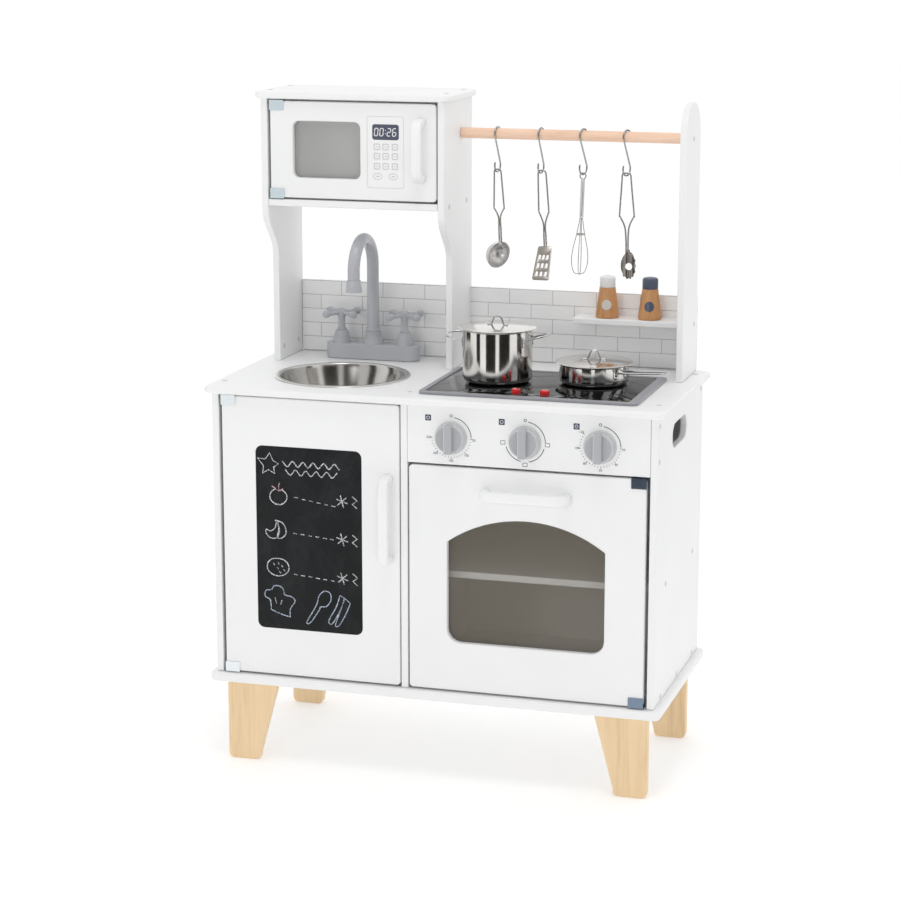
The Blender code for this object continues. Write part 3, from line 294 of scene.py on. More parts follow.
def circle(cx, cy, radius, steps=48):
    return arc(cx, cy, radius, 0, 360 - 360 / steps, steps - 1)


def round_rect(left, right, bottom, top, radius, steps=6):
    points = []
    for x, y, start in ((right, bottom, -90), (right, top, 0), (left, top, 90), (left, bottom, 180)):
        cx = x - radius if x == right else x + radius
        cy = y - radius if y == top else y + radius
        points += arc(cx, cy, radius, start, start + 90, steps)
    return points


PLANES = {  # local x, y and z of an outline in world axes
    "XY": Matrix.Identity(4),
    "XZ": Matrix(((1, 0, 0, 0), (0, 0, -1, 0), (0, 1, 0, 0), (0, 0, 0, 1))),
}


def as_mesh(work, name="part"):
    """The mesh of a bmesh, with its faces turned outward."""
    bmesh.ops.recalc_face_normals(work, faces=work.faces)
    mesh = bpy.data.meshes.new(name)
    work.to_mesh(mesh)
    work.free()
    return mesh


def skin(work, a, b, closed=True):
    """Faces between two rows of vertices."""
    for i in range(len(a) if closed else len(a) - 1):
        j = (i + 1) % len(a)
        work.faces.new((a[i], a[j], b[j], b[i]))


def curve_to_mesh(curve, matrix=Matrix.Identity(4)):
    """The mesh that a curve makes, with its caps welded on."""
    guide = bpy.data.objects.new("guide", curve)
    scene.collection.objects.link(guide)
    graph = bpy.context.evaluated_depsgraph_get()
    raw = bpy.data.meshes.new_from_object(guide.evaluated_get(graph))
    bpy.data.objects.remove(guide)
    bpy.data.curves.remove(curve)
    work = bmesh.new()
    work.from_mesh(raw)
    bpy.data.meshes.remove(raw)
    bmesh.ops.remove_doubles(work, verts=work.verts, dist=2e-6)
    bmesh.ops.transform(work, matrix=matrix, verts=work.verts)
    return as_mesh(work)


def poly_spline(curve, points, closed):
    spline = curve.splines.new("POLY")
    spline.points.add(len(points) - 1)
    for point, place in zip(spline.points, points):
        point.co = (*place, *(0,) * (3 - len(place)), 1)
    spline.use_cyclic_u = closed


def plate(outlines, low, high, plane, edge=0.0005, segments=2):
    """A flat plate through outlines (the first is its edge, the others are holes), with rounded edges."""
    curve = bpy.data.curves.new("plate", "CURVE")
    curve.dimensions = "2D"
    curve.fill_mode = "BOTH"
    curve.extrude = max((high - low) / 2 - edge, 0.0)
    curve.bevel_depth = edge
    curve.bevel_resolution = segments
    curve.offset = -edge
    for outline in outlines:
        poly_spline(curve, outline, True)
    sign = -1 if plane == "XZ" else 1
    return curve_to_mesh(curve, PLANES[plane] @ shift(z=sign * (low + high) / 2))


def tube(points, radius, closed=False, sides=4):
    """A round wire along the points."""
    curve = bpy.data.curves.new("wire", "CURVE")
    curve.dimensions = "3D"
    curve.bevel_depth = radius
    curve.bevel_resolution = sides
    curve.use_fill_caps = not closed
    poly_spline(curve, points, closed)
    return curve_to_mesh(curve)


def flowing(points, per=6, closed=False):
    """A smooth path through the points (Catmull-Rom)."""
    spots = [Vector(p) for p in points]
    count = len(spots)
    made = []
    spans = count if closed else count - 1
    for i in range(spans):
        a = spots[(i - 1) % count] if closed or i else spots[0] * 2 - spots[1]
        b, c = spots[i], spots[(i + 1) % count]
        d = spots[(i + 2) % count] if closed or i + 2 < count else c * 2 - b
        for step in range(per):
            t = step / per
            made.append(0.5 * ((2 * b) + (c - a) * t + (2 * a - 5 * b + 4 * c - d) * t * t
                               + (3 * b - a - 3 * c + d) * t ** 3))
    if not closed:
        made.append(spots[-1])
    return made


def mm(rows):
    """Rows of millimetres, in metres."""
    return [tuple(value / 1000 for value in row) for row in rows]


def lathe(profile, steps=96, centre=(0, 0), base=0.0):
    """A solid of revolution about a vertical axis, through (radius, height) pairs. A profile that stays off
    the axis is closed into a ring."""
    work = bmesh.new()
    rings = []
    for radius, height in profile:
        spots = [(0.0, 0.0)] if radius < TINY else circle(0, 0, radius, steps)
        rings.append([work.verts.new((centre[0] + u, centre[1] + v, base + height)) for u, v in spots])
    pairs = list(zip(rings, rings[1:]))
    if profile[0][0] > TINY and profile[-1][0] > TINY:
        pairs.append((rings[-1], rings[0]))
    for lower, upper in pairs:
        if len(lower) == len(upper) == 1:
            continue
        if len(lower) > 1 and len(upper) > 1:
            skin(work, lower, upper)
            continue
        for i in range(steps):
            j = (i + 1) % steps
            work.faces.new((lower[0], upper[i], upper[j]) if len(lower) == 1 else (lower[i], lower[j], upper[0]))
    return as_mesh(work)


def soft_box(low, high, radius, segments=4):
    """A box with rounded edges."""
    work = bmesh.new()
    bmesh.ops.create_cube(work, size=1.0)
    bmesh.ops.scale(work, vec=Vector(high) - Vector(low), verts=work.verts)
    bmesh.ops.translate(work, vec=(Vector(high) + Vector(low)) / 2, verts=work.verts)
    bmesh.ops.bevel(work, geom=work.edges, offset=radius, segments=segments, profile=0.5, affect="EDGES")
    return as_mesh(work)


def ball(centre, radius, squash=(1, 1, 1)):
    work = bmesh.new()
    bmesh.ops.create_uvsphere(work, u_segments=28, v_segments=16, radius=radius)
    bmesh.ops.scale(work, vec=squash, verts=work.verts)
    bmesh.ops.translate(work, vec=Vector(centre), verts=work.verts)
    return as_mesh(work)


def ribbon(points, width, low=0.0, high=PRINT, closed=False):
    """A flat printed line along 2-D points, as a thin closed solid between two heights."""
    spots = [Vector(p) for p in points]
    count = len(spots)
    work = bmesh.new()
    rings = []
    for i, spot in enumerate(spots):
        before = spots[(i - 1) % count] if closed or i else spot
        after = spots[(i + 1) % count] if closed or i + 1 < count else spot
        along = after - before
        along = along.normalized() if along.length > TINY else Vector((1, 0))
        side = Vector((-along.y, along.x)) * width / 2
        rings.append([work.verts.new((*(spot + side * a), h))
                      for a, h in ((-1, low), (1, low), (1, high), (-1, high))])
    for a, b in zip(rings, rings[1:] + rings[:1] if closed else rings[1:]):
        skin(work, a, b)
    if not closed:
        work.faces.new(rings[0])
        work.faces.new(rings[-1])
    return as_mesh(work)


def lettering(text, size, at):
    """Printed figures as a thin solid, centred on a 2-D point."""
    curve = bpy.data.curves.new("figures", "FONT")
    curve.body = text
    curve.size = size
    curve.align_x, curve.align_y = "CENTER", "CENTER"
    curve.extrude = PRINT / 2
    return curve_to_mesh(curve, shift(at[0], at[1], PRINT / 2))


def moved(mesh, matrix):
    mesh.transform(matrix)
    return mesh


def shift(x=0.0, y=0.0, z=0.0):
    return Matrix.Translation((x, y, z))


def on_front(front):
    """Stands a print drawn in x-z up against a face that looks towards -Y."""
    return Matrix(((1, 0, 0, 0), (0, 0, -1, front), (0, 1, 0, 0), (0, 0, 0, 1)))


def add(name, meshes, material, body, replaces=(), sharp=35.0, smooth=True):
    """One named piece from one or more meshes in the layout's frame, riding on a body."""
    work = bmesh.new()
    for mesh in meshes if isinstance(meshes, (list, tuple)) else [meshes]:
        work.from_mesh(mesh)
        bpy.data.meshes.remove(mesh)
    bmesh.ops.translate(work, vec=(0, SHIFT, 0), verts=work.verts)
    data = bpy.data.meshes.new(name)
    work.to_mesh(data)
    work.free()
    if smooth:
        data.shade_smooth()
        data.set_sharp_from_angle(angle=math.radians(sharp))
    data.materials.clear()
    data.materials.append(material)
    for polygon in data.polygons:
        polygon.material_index = 0
    piece = bpy.data.objects.new(name, data)
    scene.collection.objects.link(piece)
    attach(piece, body)
    for node in replaces:
        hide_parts(node)


def stood_by(centre, turn, u, v):
    """The point that lies u out from a centre and v to its side, along a heading."""
    cos, sin = math.cos(turn), math.sin(turn)
    return centre[0] + u * cos - v * sin, centre[1] + u * sin + v * cos


def front_print(name, meshes, material, body, front):
    stood = on_front(front)
    add(name, [moved(mesh, stood) for mesh in meshes], material, body, smooth=False)


def facing(direction):
    """The turn that points +Z along a direction."""
    return direction.to_track_quat("Z", "Y").to_matrix().to_4x4()


# ---- Boards: the CAD's own, with softened edges -----------------------------------------------------

def smooth_group():
    """Shades faces smooth and keeps edges over the limit sharp."""
    group = bpy.data.node_groups.new("smooth_by_angle", "GeometryNodeTree")
    group.interface.new_socket("Geometry", in_out="INPUT", socket_type="NodeSocketGeometry")
    group.interface.new_socket("Geometry", in_out="OUTPUT", socket_type="NodeSocketGeometry")
    enter, leave = group.nodes.new("NodeGroupInput"), group.nodes.new("NodeGroupOutput")
    faces = group.nodes.new("GeometryNodeSetShadeSmooth")
    edges = group.nodes.new("GeometryNodeSetShadeSmooth")
    edges.domain = "EDGE"
    edges.inputs["Shade Smooth"].default_value = False
    angle = group.nodes.new("GeometryNodeInputMeshEdgeAngle")
    over = group.nodes.new("FunctionNodeCompare")
    over.data_type, over.operation = "FLOAT", "GREATER_THAN"
    over.inputs[1].default_value = math.radians(38)
    group.links.new(enter.outputs[0], faces.inputs["Geometry"])
    group.links.new(faces.outputs[0], edges.inputs["Geometry"])
    group.links.new(angle.outputs["Unsigned Angle"], over.inputs[0])
    group.links.new(over.outputs[0], edges.inputs["Selection"])
    group.links.new(edges.outputs[0], leave.inputs[0])
    return group


SMOOTH = smooth_group()


def refine(node, material, width=0.0005):
    """Gives a CAD node its material, and softens its edges by modifiers only."""
    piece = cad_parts[node]
    if not piece.material_slots:
        piece.data.materials.append(material)
    for held in piece.material_slots:
        held.material = material
    piece.modifiers.new("Weld", "WELD").merge_threshold = 1e-6
    if width:
        bevel = piece.modifiers.new("Bevel", "BEVEL")
        bevel.width = width
        bevel.segments = 2
        bevel.limit_method = "ANGLE"
        bevel.angle_limit = math.radians(28)
    piece.modifiers.new("Smooth", "NODES").node_group = SMOOTH
    piece.modifiers.new("Weighted", "WEIGHTED_NORMAL").keep_sharp = True


for node in ("plinth_board", "side_panel_left", "side_panel_right", "centre_divider", "cabinet_back",
             "oven_shelf", "control_panel", "worktop", "tower_panel_left", "tower_panel_right", "tower_top",
             "microwave_floor", "microwave_back", "rail_post", "spice_shelf", "cabinet_door", "oven_door",
             "microwave_door"):
    refine(node, WHITE)
refine("backsplash", TILES, 0.0003)
for node in ("leg_front_left", "leg_front_right", "leg_rear_left", "leg_rear_right"):
    refine(node, BIRCH, 0.0006)
# Each door's hinge clips take their own chrome colour, a painted reflection.
for door in ("cabinet", "oven", "microwave"):
    for place in ("top", "bottom"):
        refine(f"{door}_hinge_{place}", CLIPS_PAINTED_REFLECTION[door], 0.0)
refine("oven_window", SMOKED, 0.0)
refine("microwave_window", CLEAR, 0.0)


# ---- Handles ----------------------------------------------------------------------------------------

def handle(door, centre, length, upright, face):
    """A D-shaped grip with rounded edges, on two feet."""
    wide, proud, bar, outer_r, inner_r = 0.0134, 0.025, 0.0095, 0.016, 0.009
    half, inner = length / 2, length / 2 - bar
    outline = [(-half, 0.0)] + arc(outer_r - half, proud - outer_r, outer_r, 180, 90, 8)
    outline += arc(half - outer_r, proud - outer_r, outer_r, 90, 0, 8) + [(half, 0.0), (inner, 0.0)]
    outline += arc(inner - inner_r, proud - bar - inner_r, inner_r, 0, 90, 8)
    outline += arc(inner_r - inner, proud - bar - inner_r, inner_r, 90, 180, 8) + [(-inner, 0.0)]
    mesh = plate([outline], -wide / 2, wide / 2, "XY", 0.0032, 4)
    along, across = ((0, 0, 1), (1, 0, 0)) if upright else ((1, 0, 0), (0, 0, -1))
    turn = Matrix((along, (0, -1, 0), across)).transposed()
    mesh.transform(shift(centre[0], face, centre[1]) @ turn.to_4x4())
    add(f"{door}_grip", mesh, HANDLE_WHITE, f"{door}_door", [f"{door}_handle"], 40)


handle("cabinet", (-0.0547, 0.3423), 0.114, True, FRONT - GAP)
handle("oven", (0.1252, 0.384), 0.114, False, FRONT - GAP)
handle("microwave", (-0.0595, 0.7907), 0.0825, True, MICROWAVE_FRONT - GAP)


# ---- Chalkboard -------------------------------------------------------------------------------------

BOARD_LEFT, BOARD_RIGHT, BOARD_LOW, BOARD_TOP = -0.232, -0.0895, 0.186, 0.4265
FILM = 0.00025


def chalkboard():
    film = plate([round_rect(BOARD_LEFT, BOARD_RIGHT, BOARD_LOW, BOARD_TOP, 0.009)],
                 FRONT - FILM, FRONT + 0.0002, "XZ", 0.0001, 1)
    add("chalkboard", film, BOARD_BLACK, "cabinet_door")
    strokes = {"white": [], "pink": [], "blue": []}

    def draw(points, colour="white", smooth=True, closed=False, twice=True):
        """One chalk stroke through points in mm from the board's top left corner, drawn a little unsteadily."""
        for run in range(2 if twice else 1):
            path = [Vector((x + random.uniform(-0.35, 0.35), -y + random.uniform(-0.35, 0.35), 0))
                    for x, y in points]
            if smooth and len(path) > 2:
                path = flowing(path, 5, closed)
            spots = [(BOARD_LEFT + p.x / 1000, BOARD_TOP + p.y / 1000) for p in path]
            width = random.uniform(0.0009, 0.0013)
            height = FILM + 0.00006 + 0.00004 * run
            strokes[colour].append(ribbon(spots, width, FILM - 0.00002, height, closed))

    # A star, and two waves across the top
    draw([(19.5, 9), (23.5, 18.5), (31, 22.5), (24.5, 27.5), (26, 35.5), (17.5, 31), (9.5, 36), (11, 26.5),
          (2.6, 16.5), (13, 17.5)], smooth=False, closed=True)
    for line, start, end in ((22, 36, 118), (33, 40, 112)):
        draw([(u, line + (3.5 if i % 2 else -3.5)) for i, u in enumerate(range(start, end, 7))])
    # Fruit with a stalk and a leaf
    turns = [math.radians(-70 + 32 * i) for i in range(11)]
    draw([(30.3 + 11.5 * math.cos(t), 65.5 + 10.5 * math.sin(t)) for t in turns])
    draw([(31, 57), (30.5, 52), (32, 47)], "pink", twice=False)
    draw([(22, 52), (26, 55), (31, 58), (37, 55)], "pink")
    # Two curved fruit on one stalk
    draw([(25, 97), (36, 99)], smooth=False)
    draw([(27, 99), (25, 107), (19, 111.5), (13, 109.5), (13.5, 116), (20, 121), (28, 119), (31, 110), (29, 100)])
    draw([(29, 100), (30, 110), (28, 119), (34, 120), (40, 113), (38.5, 104), (34, 99)])
    # A round biscuit with chips
    draw([(28.6 + 15 * math.cos(t), 158.5 + 11.6 * math.sin(t)) for t in [math.tau * i / 12 for i in range(12)]],
         closed=True)
    for x, y in ((22, 154), (28, 152), (27, 159), (33, 156), (30, 164), (36, 161)):
        draw([(x, y), (x + 2.2, y + 2.4)], smooth=False, twice=False)
    # Three runs of dashes, then a cross and a zigzag at the end of each
    for x, y, slope in ((52, 65, 0.16), (50, 112, 0.09), (50, 166, 0.1)):
        for i in range(6):
            draw([(x + 10 * i, y + slope * 10 * i), (x + 10 * i + 5, y + slope * 10 * i + 0.7)], twice=False)
    for x, y in ((116, 62), (116, 112), (116, 163)):
        for turn in (0.3, 1.3, 2.4):
            du, dv = 8 * math.cos(turn), 8 * math.sin(turn)
            draw([(x - du, y + 4 - dv), (x + du, y + 4 + dv)], smooth=False)
        draw([(x + 14, y - 3), (x + 20, y + 2), (x + 14, y + 7), (x + 20, y + 12)], smooth=False)
    # A cook's hat
    draw([(18.5, 216), (17, 203), (10.5, 199), (11, 191), (19, 189), (23, 184), (31, 184), (36, 189), (37, 195),
          (46, 197), (51, 202), (47, 209), (44.5, 214), (44, 224)], "blue")
    draw([(18.5, 216), (30, 220), (44, 224)], "blue")
    draw([(24, 199), (25.5, 207)], "blue", twice=False)
    draw([(33, 202), (31.5, 208)], "blue", twice=False)
    # A spoon, and a fork with its prongs
    draw([(68, 226), (80, 205), (84, 193), (91, 186), (99, 188), (100, 197), (94, 206), (86, 207), (84, 212),
          (72, 229), (67, 230), (68, 226)], "blue")
    draw([(112, 190), (107, 205), (98, 222), (97, 227), (102, 228), (112, 211), (118, 196)], "blue")
    draw([(118, 193), (114, 207), (106, 229), (111, 230), (119, 216), (126, 199)], "blue")
    draw([(112, 190), (118, 193), (126, 199)], "blue", twice=False)
    for colour, material in (("white", CHALK), ("pink", CHALK_PINK), ("blue", CHALK_BLUE)):
        front_print(f"chalk_drawing_{colour}", strokes[colour], material, "cabinet_door", FRONT)


chalkboard()


# ---- Knobs and the prints round them ----------------------------------------------------------------

KNOB_Z, KNOB_MIDDLE, KNOB_PITCH = 0.452, 0.1235, 0.095


def polar(cx, cy, radius, degrees):
    """A point at a clock angle: 0 is up, and 90 is to the right."""
    turn = math.radians(degrees)
    return cx + radius * math.sin(turn), cy + radius * math.cos(turn)


def clock_arc(cx, cy, radius, start, end, steps=24):
    return [polar(cx, cy, radius, start + (end - start) * i / steps) for i in range(steps + 1)]


def knob(side, index):
    outward = shift(KNOB_MIDDLE + index * KNOB_PITCH, FRONT, KNOB_Z) @ Matrix.Rotation(math.pi / 2, 4, "X")
    skirt = lathe(mm([(3.6, -13), (3.6, 0.3), (20, 0.3), (20.5, 0.8), (20.5, 3), (20, 3.7), (19.4, 4),
                      (18.8, 4), (0, 4), (0, -13)]))
    drum = lathe(mm([(0, 3), (19, 3), (18.1, 10.6), (17.8, 11.3), (17.2, 11.7), (16.8, 11.7), (0, 11.7)]))
    face = lathe(mm([(0, 11.6), (16.9, 11.6), (16.9, 11.9), (16.6, 12.1), (15, 12), (0, 12)]))
    grip = soft_box((-0.0052, -0.0184, 0.0044), (0.0052, 0.0184, 0.0189), 0.0022)
    # A strip along the grip's left front edge, in the rim's lighter grey: a painted highlight on the grip's lit
    # side.
    edge = soft_box((-0.005, -0.0175, 0.01), (-0.0036, 0.0175, 0.019), 0.0004, 2)
    body = f"knob_{side}"
    for name, mesh, material in (("skirt", skirt, KNOB_RIM), ("drum", drum, KNOB_RIM), ("face", face, KNOB_FACE),
                                 ("grip", grip, KNOB_FACE), ("edge", edge, KNOB_RIM)):
        add(f"{body}_{name}", moved(mesh, outward), material, body, [body])


def dial(side, index, figures, last):
    """Marks round a knob: figures up to the last clock angle, or three squares for the knob with none."""
    x, z = KNOB_MIDDLE + index * KNOB_PITCH, KNOB_Z
    marks = [ribbon(circle(*polar(x, z, 0.0275, 0), 0.0016, 20), 0.0007, closed=True),
             ribbon(clock_arc(x, z, 0.0258, 9, 88), 0.0009)]
    if figures:
        count, inner = 5 * (len(figures) - 1) + 1, 0.0244
        for i in range(count):
            angle = 92 + (last - 92) * i / (count - 1)
            outer = inner + (0.0016 if i % 5 else 0.003)
            marks.append(ribbon([polar(x, z, r, angle) for r in (inner, outer)], 0.0006))
        for i, text in enumerate(figures):
            angle = 94 + (last - 94) * i / (len(figures) - 1)
            marks.append(lettering(text, 0.0043, polar(x, z, 0.0294, angle)))
    else:
        marks += [ribbon(clock_arc(x, z, 0.0252, *ends), 0.0009) for ends in ((106, 168), (192, 254))]
        for cx, cy in (polar(x, z, 0.0285, angle) for angle in (94, 180, 266)):
            box = round_rect(cx - 0.0028, cx + 0.0028, cy - 0.0022, cy + 0.0022, 0.0006, 3)
            marks.append(ribbon(box, 0.0006, closed=True))
    front_print(f"dial_{side}_marks", marks, INK, "kitchen", FRONT)
    left, low, wide = x - 0.0338, z + 0.02, 0.0076
    icon = plate([round_rect(left, left + wide, low, low + wide, 0.0008, 3)], 0, PRINT, "XY", 0.00002, 0)
    front_print(f"dial_{side}_icon", [icon], INK_NAVY, "kitchen", FRONT)
    cx, cy = left + wide / 2, low + wide / 2
    heights = PRINT - 0.00002, PRINT * 1.6
    sign = [ribbon(circle(cx, cy, 0.002, 20), 0.0006, *heights, True)]
    if index:
        sign.append(ribbon([(cx, cy), (cx + 0.0008 * index, cy + 0.0008)], 0.0004, *heights))
    front_print(f"dial_{side}_sign", sign, INK_WHITE, "kitchen", FRONT)


for side, index, figures, last in (("left", -1, ("50", "100", "150", "200", "250"), 268), ("middle", 0, (), 0),
                                   ("right", 1, ("20", "40", "60", "80", "100", "120"), 306)):
    knob(side, index)
    dial(side, index, figures, last)


# ---- Hob --------------------------------------------------------------------------------------------

HOB = (-0.0228, 0.2585, -0.1165, 0.066)
HOB_TOP, HOB_GLASS_TOP, HOB_TUB = 0.5037, 0.5031, 0.474
GLASS = (-0.0158, 0.2465, -0.1085, 0.059)
BUTTON_X, BUTTON_Y, BUTTON_R, BUTTON_TOP = (0.0975, 0.1345), -0.088, 0.0058, 0.5085
POT, PAN = (0.054, -0.018), (0.176, 0.002)


def shrunk(rectangle, by):
    left, right, low, high = rectangle
    return left + by, right - by, low + by, high - by


def hob():
    frame_top = plate([round_rect(*HOB, 0.008, 8), round_rect(*GLASS, 0.003, 4)],
                      WORKTOP + GAP, HOB_TOP, "XY", 0.0007, 3)
    inset, wall = 0.011, 0.0025
    tub = plate([round_rect(*shrunk(HOB, inset), 0.003, 4), round_rect(*shrunk(HOB, inset + wall), 0.0015, 4)],
                HOB_TUB, WORKTOP + 0.0012, "XY", 0.0003, 1)
    add("hob_frame", [frame_top, tub], HOB_GREY, "kitchen", ["hob"])
    holes = [circle(x, BUTTON_Y, BUTTON_R + 0.0004, 40) for x in BUTTON_X]
    glass = plate([round_rect(*shrunk(GLASS, 0.00005), 0.003, 4)] + holes,
                  WORKTOP - 0.0006, HOB_GLASS_TOP, "XY", 0.0001, 1)
    add("hob_glass", glass, HOB_GLASS, "kitchen", ["hob"])
    low, high = HOB_GLASS_TOP - 0.00002, HOB_GLASS_TOP + 0.00005
    rings = []
    for (x, y), sizes in ((POT, (0.056, 0.06)), (PAN, (0.052,))):
        for size in sizes:
            rings.append(ribbon(circle(x, y, size, 120), 0.0007, low, high, True))
    for x in BUTTON_X:
        rings += [ribbon(circle(x, BUTTON_Y, r), 0.0005, low, high, True) for r in (0.01, 0.0128)]
        for angle in range(30, 360, 60):
            rings.append(ribbon([polar(x, BUTTON_Y, r, angle) for r in (0.014, 0.0158)], 0.0005, low, high))
    add("hob_print", rings, INK_GREY, "kitchen", smooth=False)
    flange = WORKTOP - 0.0006 - GAP
    for x, side in zip(BUTTON_X, ("left", "right")):
        rounded = arc(BUTTON_R - 0.0016, BUTTON_TOP - 0.0016, 0.0016, 90, 0, 6)
        profile = [(0, BUTTON_TOP)] + rounded + [
            (BUTTON_R, flange), (BUTTON_R + 0.0016, flange), (BUTTON_R + 0.0016, flange - 0.002),
            (0.003, flange - 0.002), (0.003, flange - 0.008), (0, flange - 0.008)]
        add(f"button_{side}_cap", lathe(profile, 64, (x, BUTTON_Y)), RED, f"hob_button_{side}",
            [f"hob_button_{side}"])


hob()


# ---- Sink and tap -----------------------------------------------------------------------------------

SINK = (-0.155, -0.0215)
TAP_X, TAP_Y, TAP_PITCH = -0.1545, 0.105, 0.0447
TAP_SEAM, TAP_ARC_R, TAP_ARC_Z, TAP_TUBE_R = 0.538, 0.0395, 0.6276, 0.0081


def sink():
    rim, wall, floor, bottom_r, bend = WORKTOP + GAP, 0.0009, 0.452, 0.056, 0.012
    inside = [(0, floor + wall), (0.008, floor + wall)] + arc(bottom_r, floor + bend, bend - wall, 270, 345, 10)
    outside = [(0, floor), (0.008, floor)] + arc(bottom_r, floor + bend, bend, 270, 345, 10)
    top_out, top_in = 0.0818, 0.0802
    profile = inside + [(top_out - 0.0022, rim - 0.006), (top_in, rim - 0.0004), (top_in + 0.0008, rim + 0.0009),
                        (top_in + 0.0022, rim + 0.0014), (0.0872, rim + 0.0013), (0.0884, rim + 0.001),
                        (0.0888, rim + 0.0004), (0.0886, rim), (top_out, rim), (top_out - 0.001, rim - 0.006)]
    profile += list(reversed(outside))
    bowl = lathe(profile, 160, SINK)
    add("sink_bowl", bowl, SINK_STEEL, "sink_basin", ["sink_basin"], 50)
    drain = lathe(mm([(0, 0.5), (3, 0.5), (3.6, 0.2), (10, 0.2), (11.2, 0.7), (12.8, 0.9), (14.2, 0.7),
                      (14.6, 0.1), (0, 0.1)]), 72, SINK, floor + wall)
    add("sink_drain", drain, CHROME, "sink_basin")


def tap():
    length, depth, height = 0.1305, 0.026, 0.0208
    low = WORKTOP + GAP
    top = low + height
    outline = round_rect(TAP_X - length / 2, TAP_X + length / 2, TAP_Y - depth / 2, TAP_Y + depth / 2,
                         depth / 2 - 1e-5, 14)
    meshes = [plate([outline], low, top, "XY", 0.0016, 4)]
    foot = [(0.0122, top - 0.0012), (0.0122, 0.5228), (0.0112, 0.5252), (0.0102, 0.53), (0.0092, 0.5345),
            (0.0084, 0.5366), (0.0072, 0.5379), (0.0066, TAP_SEAM)]
    middle = [(0.014, top - 0.0012), (0.014, 0.5232), (0.0126, 0.5256), (0.0116, 0.53), (0.0108, 0.534),
              (0.0112, 0.5354), (0.011, 0.5372), (0.0098, TAP_SEAM)]
    for x, shape in ((TAP_X - TAP_PITCH, foot), (TAP_X, middle), (TAP_X + TAP_PITCH, foot)):
        meshes.append(lathe([(0, top - 0.0012)] + shape + [(0, TAP_SEAM)], 64, (x, TAP_Y)))
    add("tap_base", meshes, TAP_GREY, "kitchen", ["tap_block"])
    seams = [soft_box((TAP_X + s * TAP_PITCH * 0.5 - 0.0002, TAP_Y - depth / 2 - 0.00015, low + 0.002),
                      (TAP_X + s * TAP_PITCH * 0.5 + 0.0002, TAP_Y - depth / 2 + 0.001, top - 0.002), 0.00005, 1)
             for s in (-1, 1)]
    add("tap_base_seams", seams, KNOB_FACE, "kitchen")
    start = TAP_SEAM + GAP
    path = [(TAP_X, TAP_Y, start + 0.0896 * i / 6) for i in range(6)]
    path += [(TAP_X, TAP_Y - TAP_ARC_R + y, z) for y, z in arc(0, TAP_ARC_Z, TAP_ARC_R, 0, 180, 40)]
    path += [(TAP_X, TAP_Y - 2 * TAP_ARC_R, 0.616)]
    mouth = TAP_X, TAP_Y - 2 * TAP_ARC_R
    collar = lathe(mm([(8.4, 617.8), (9.2, 617.5), (9.6, 616), (10, 609), (10.7, 603.5), (10.6, 602.1),
                       (10, 602), (9, 602.4), (8, 608)]), 64, mouth)
    sleeve = lathe([(0, start), (0.0094, start), (0.0096, start + 0.002), (0.0092, start + 0.004),
                    (0.0083, start + 0.0052), (0, start + 0.0052)], 64, (TAP_X, TAP_Y))
    screen = lathe(mm([(0, 607.6), (8.4, 607.6), (8.4, 608.4), (0, 608.4)]), 48, mouth)
    add("tap_neck", [tube(path, TAP_TUBE_R, sides=12), collar, sleeve], TAP_GREY, "tap_spout",
        ["tap_spout"], 50)
    add("tap_outlet", screen, INK_GREY, "tap_spout")
    cross_z, turn0 = 0.561, math.radians(56)
    for side, side_name in ((-1, "left"), (1, "right")):
        x = TAP_X + side * TAP_PITCH
        meshes = [lathe(mm([(0, 538.3), (6.4, 538.3), (6.4, 539.6), (5, 540.6), (4.7, 553), (5.2, 556),
                            (6, 558.5), (6.1, 563), (5.4, 565), (4.2, 566), (3.6, 566.8), (2.2, 567.4),
                            (0, 567.6)]), 56, (x, TAP_Y))]
        for quarter in range(4):
            turn = turn0 + quarter * math.pi / 2
            away = Vector((math.cos(turn), math.sin(turn), 0))
            spoke = lathe(mm([(0, 0), (3.6, 0), (2.8, 6), (2.5, 12), (2.9, 19.5), (3.6, 21.5), (4.6, 23.2),
                              (5, 25.8), (4.6, 28.4), (3.2, 30), (0, 30.8)]), 32)
            meshes.append(moved(spoke, shift(x, TAP_Y, cross_z) @ facing(away)))
        add(f"tap_{side_name}_handle", meshes, TAP_GREY, f"tap_cross_{side_name}",
            [f"tap_cross_{side_name}"], 50)


sink()
tap()


# ---- Cookware ---------------------------------------------------------------------------------------

STAND = HOB_GLASS_TOP + GAP
POT_R, LID_R, WIRE_R, POT_TOP, PAN_TOP = 0.0447, 0.05, 0.0012, 0.572, 0.53


def vessel(top, centre, bend=0.008, wall=0.001):
    inside = [(0, STAND + wall)] + arc(POT_R - bend, STAND + bend, bend - wall, 270, 360, 10)
    rim = [(POT_R - wall, top - 0.0004), (POT_R - wall * 0.6, top), (POT_R + 0.0007, top),
           (POT_R + 0.0012, top - 0.0004), (POT_R + 0.0012, top - 0.0009), (POT_R + 0.0008, top - 0.0014),
           (POT_R, top - 0.0018)]
    outside = arc(POT_R - bend, STAND + bend, bend, 0, -90, 10)
    outside += [(0.03, STAND), (0.0295, STAND + 0.0003), (0, STAND + 0.0003)]
    return lathe(inside + rim + outside, 144, centre)


def mirrored(half):
    """A whole outline from its half at +u, which runs up to the middle."""
    return [(-u, v) for u, v in half] + half[::-1]


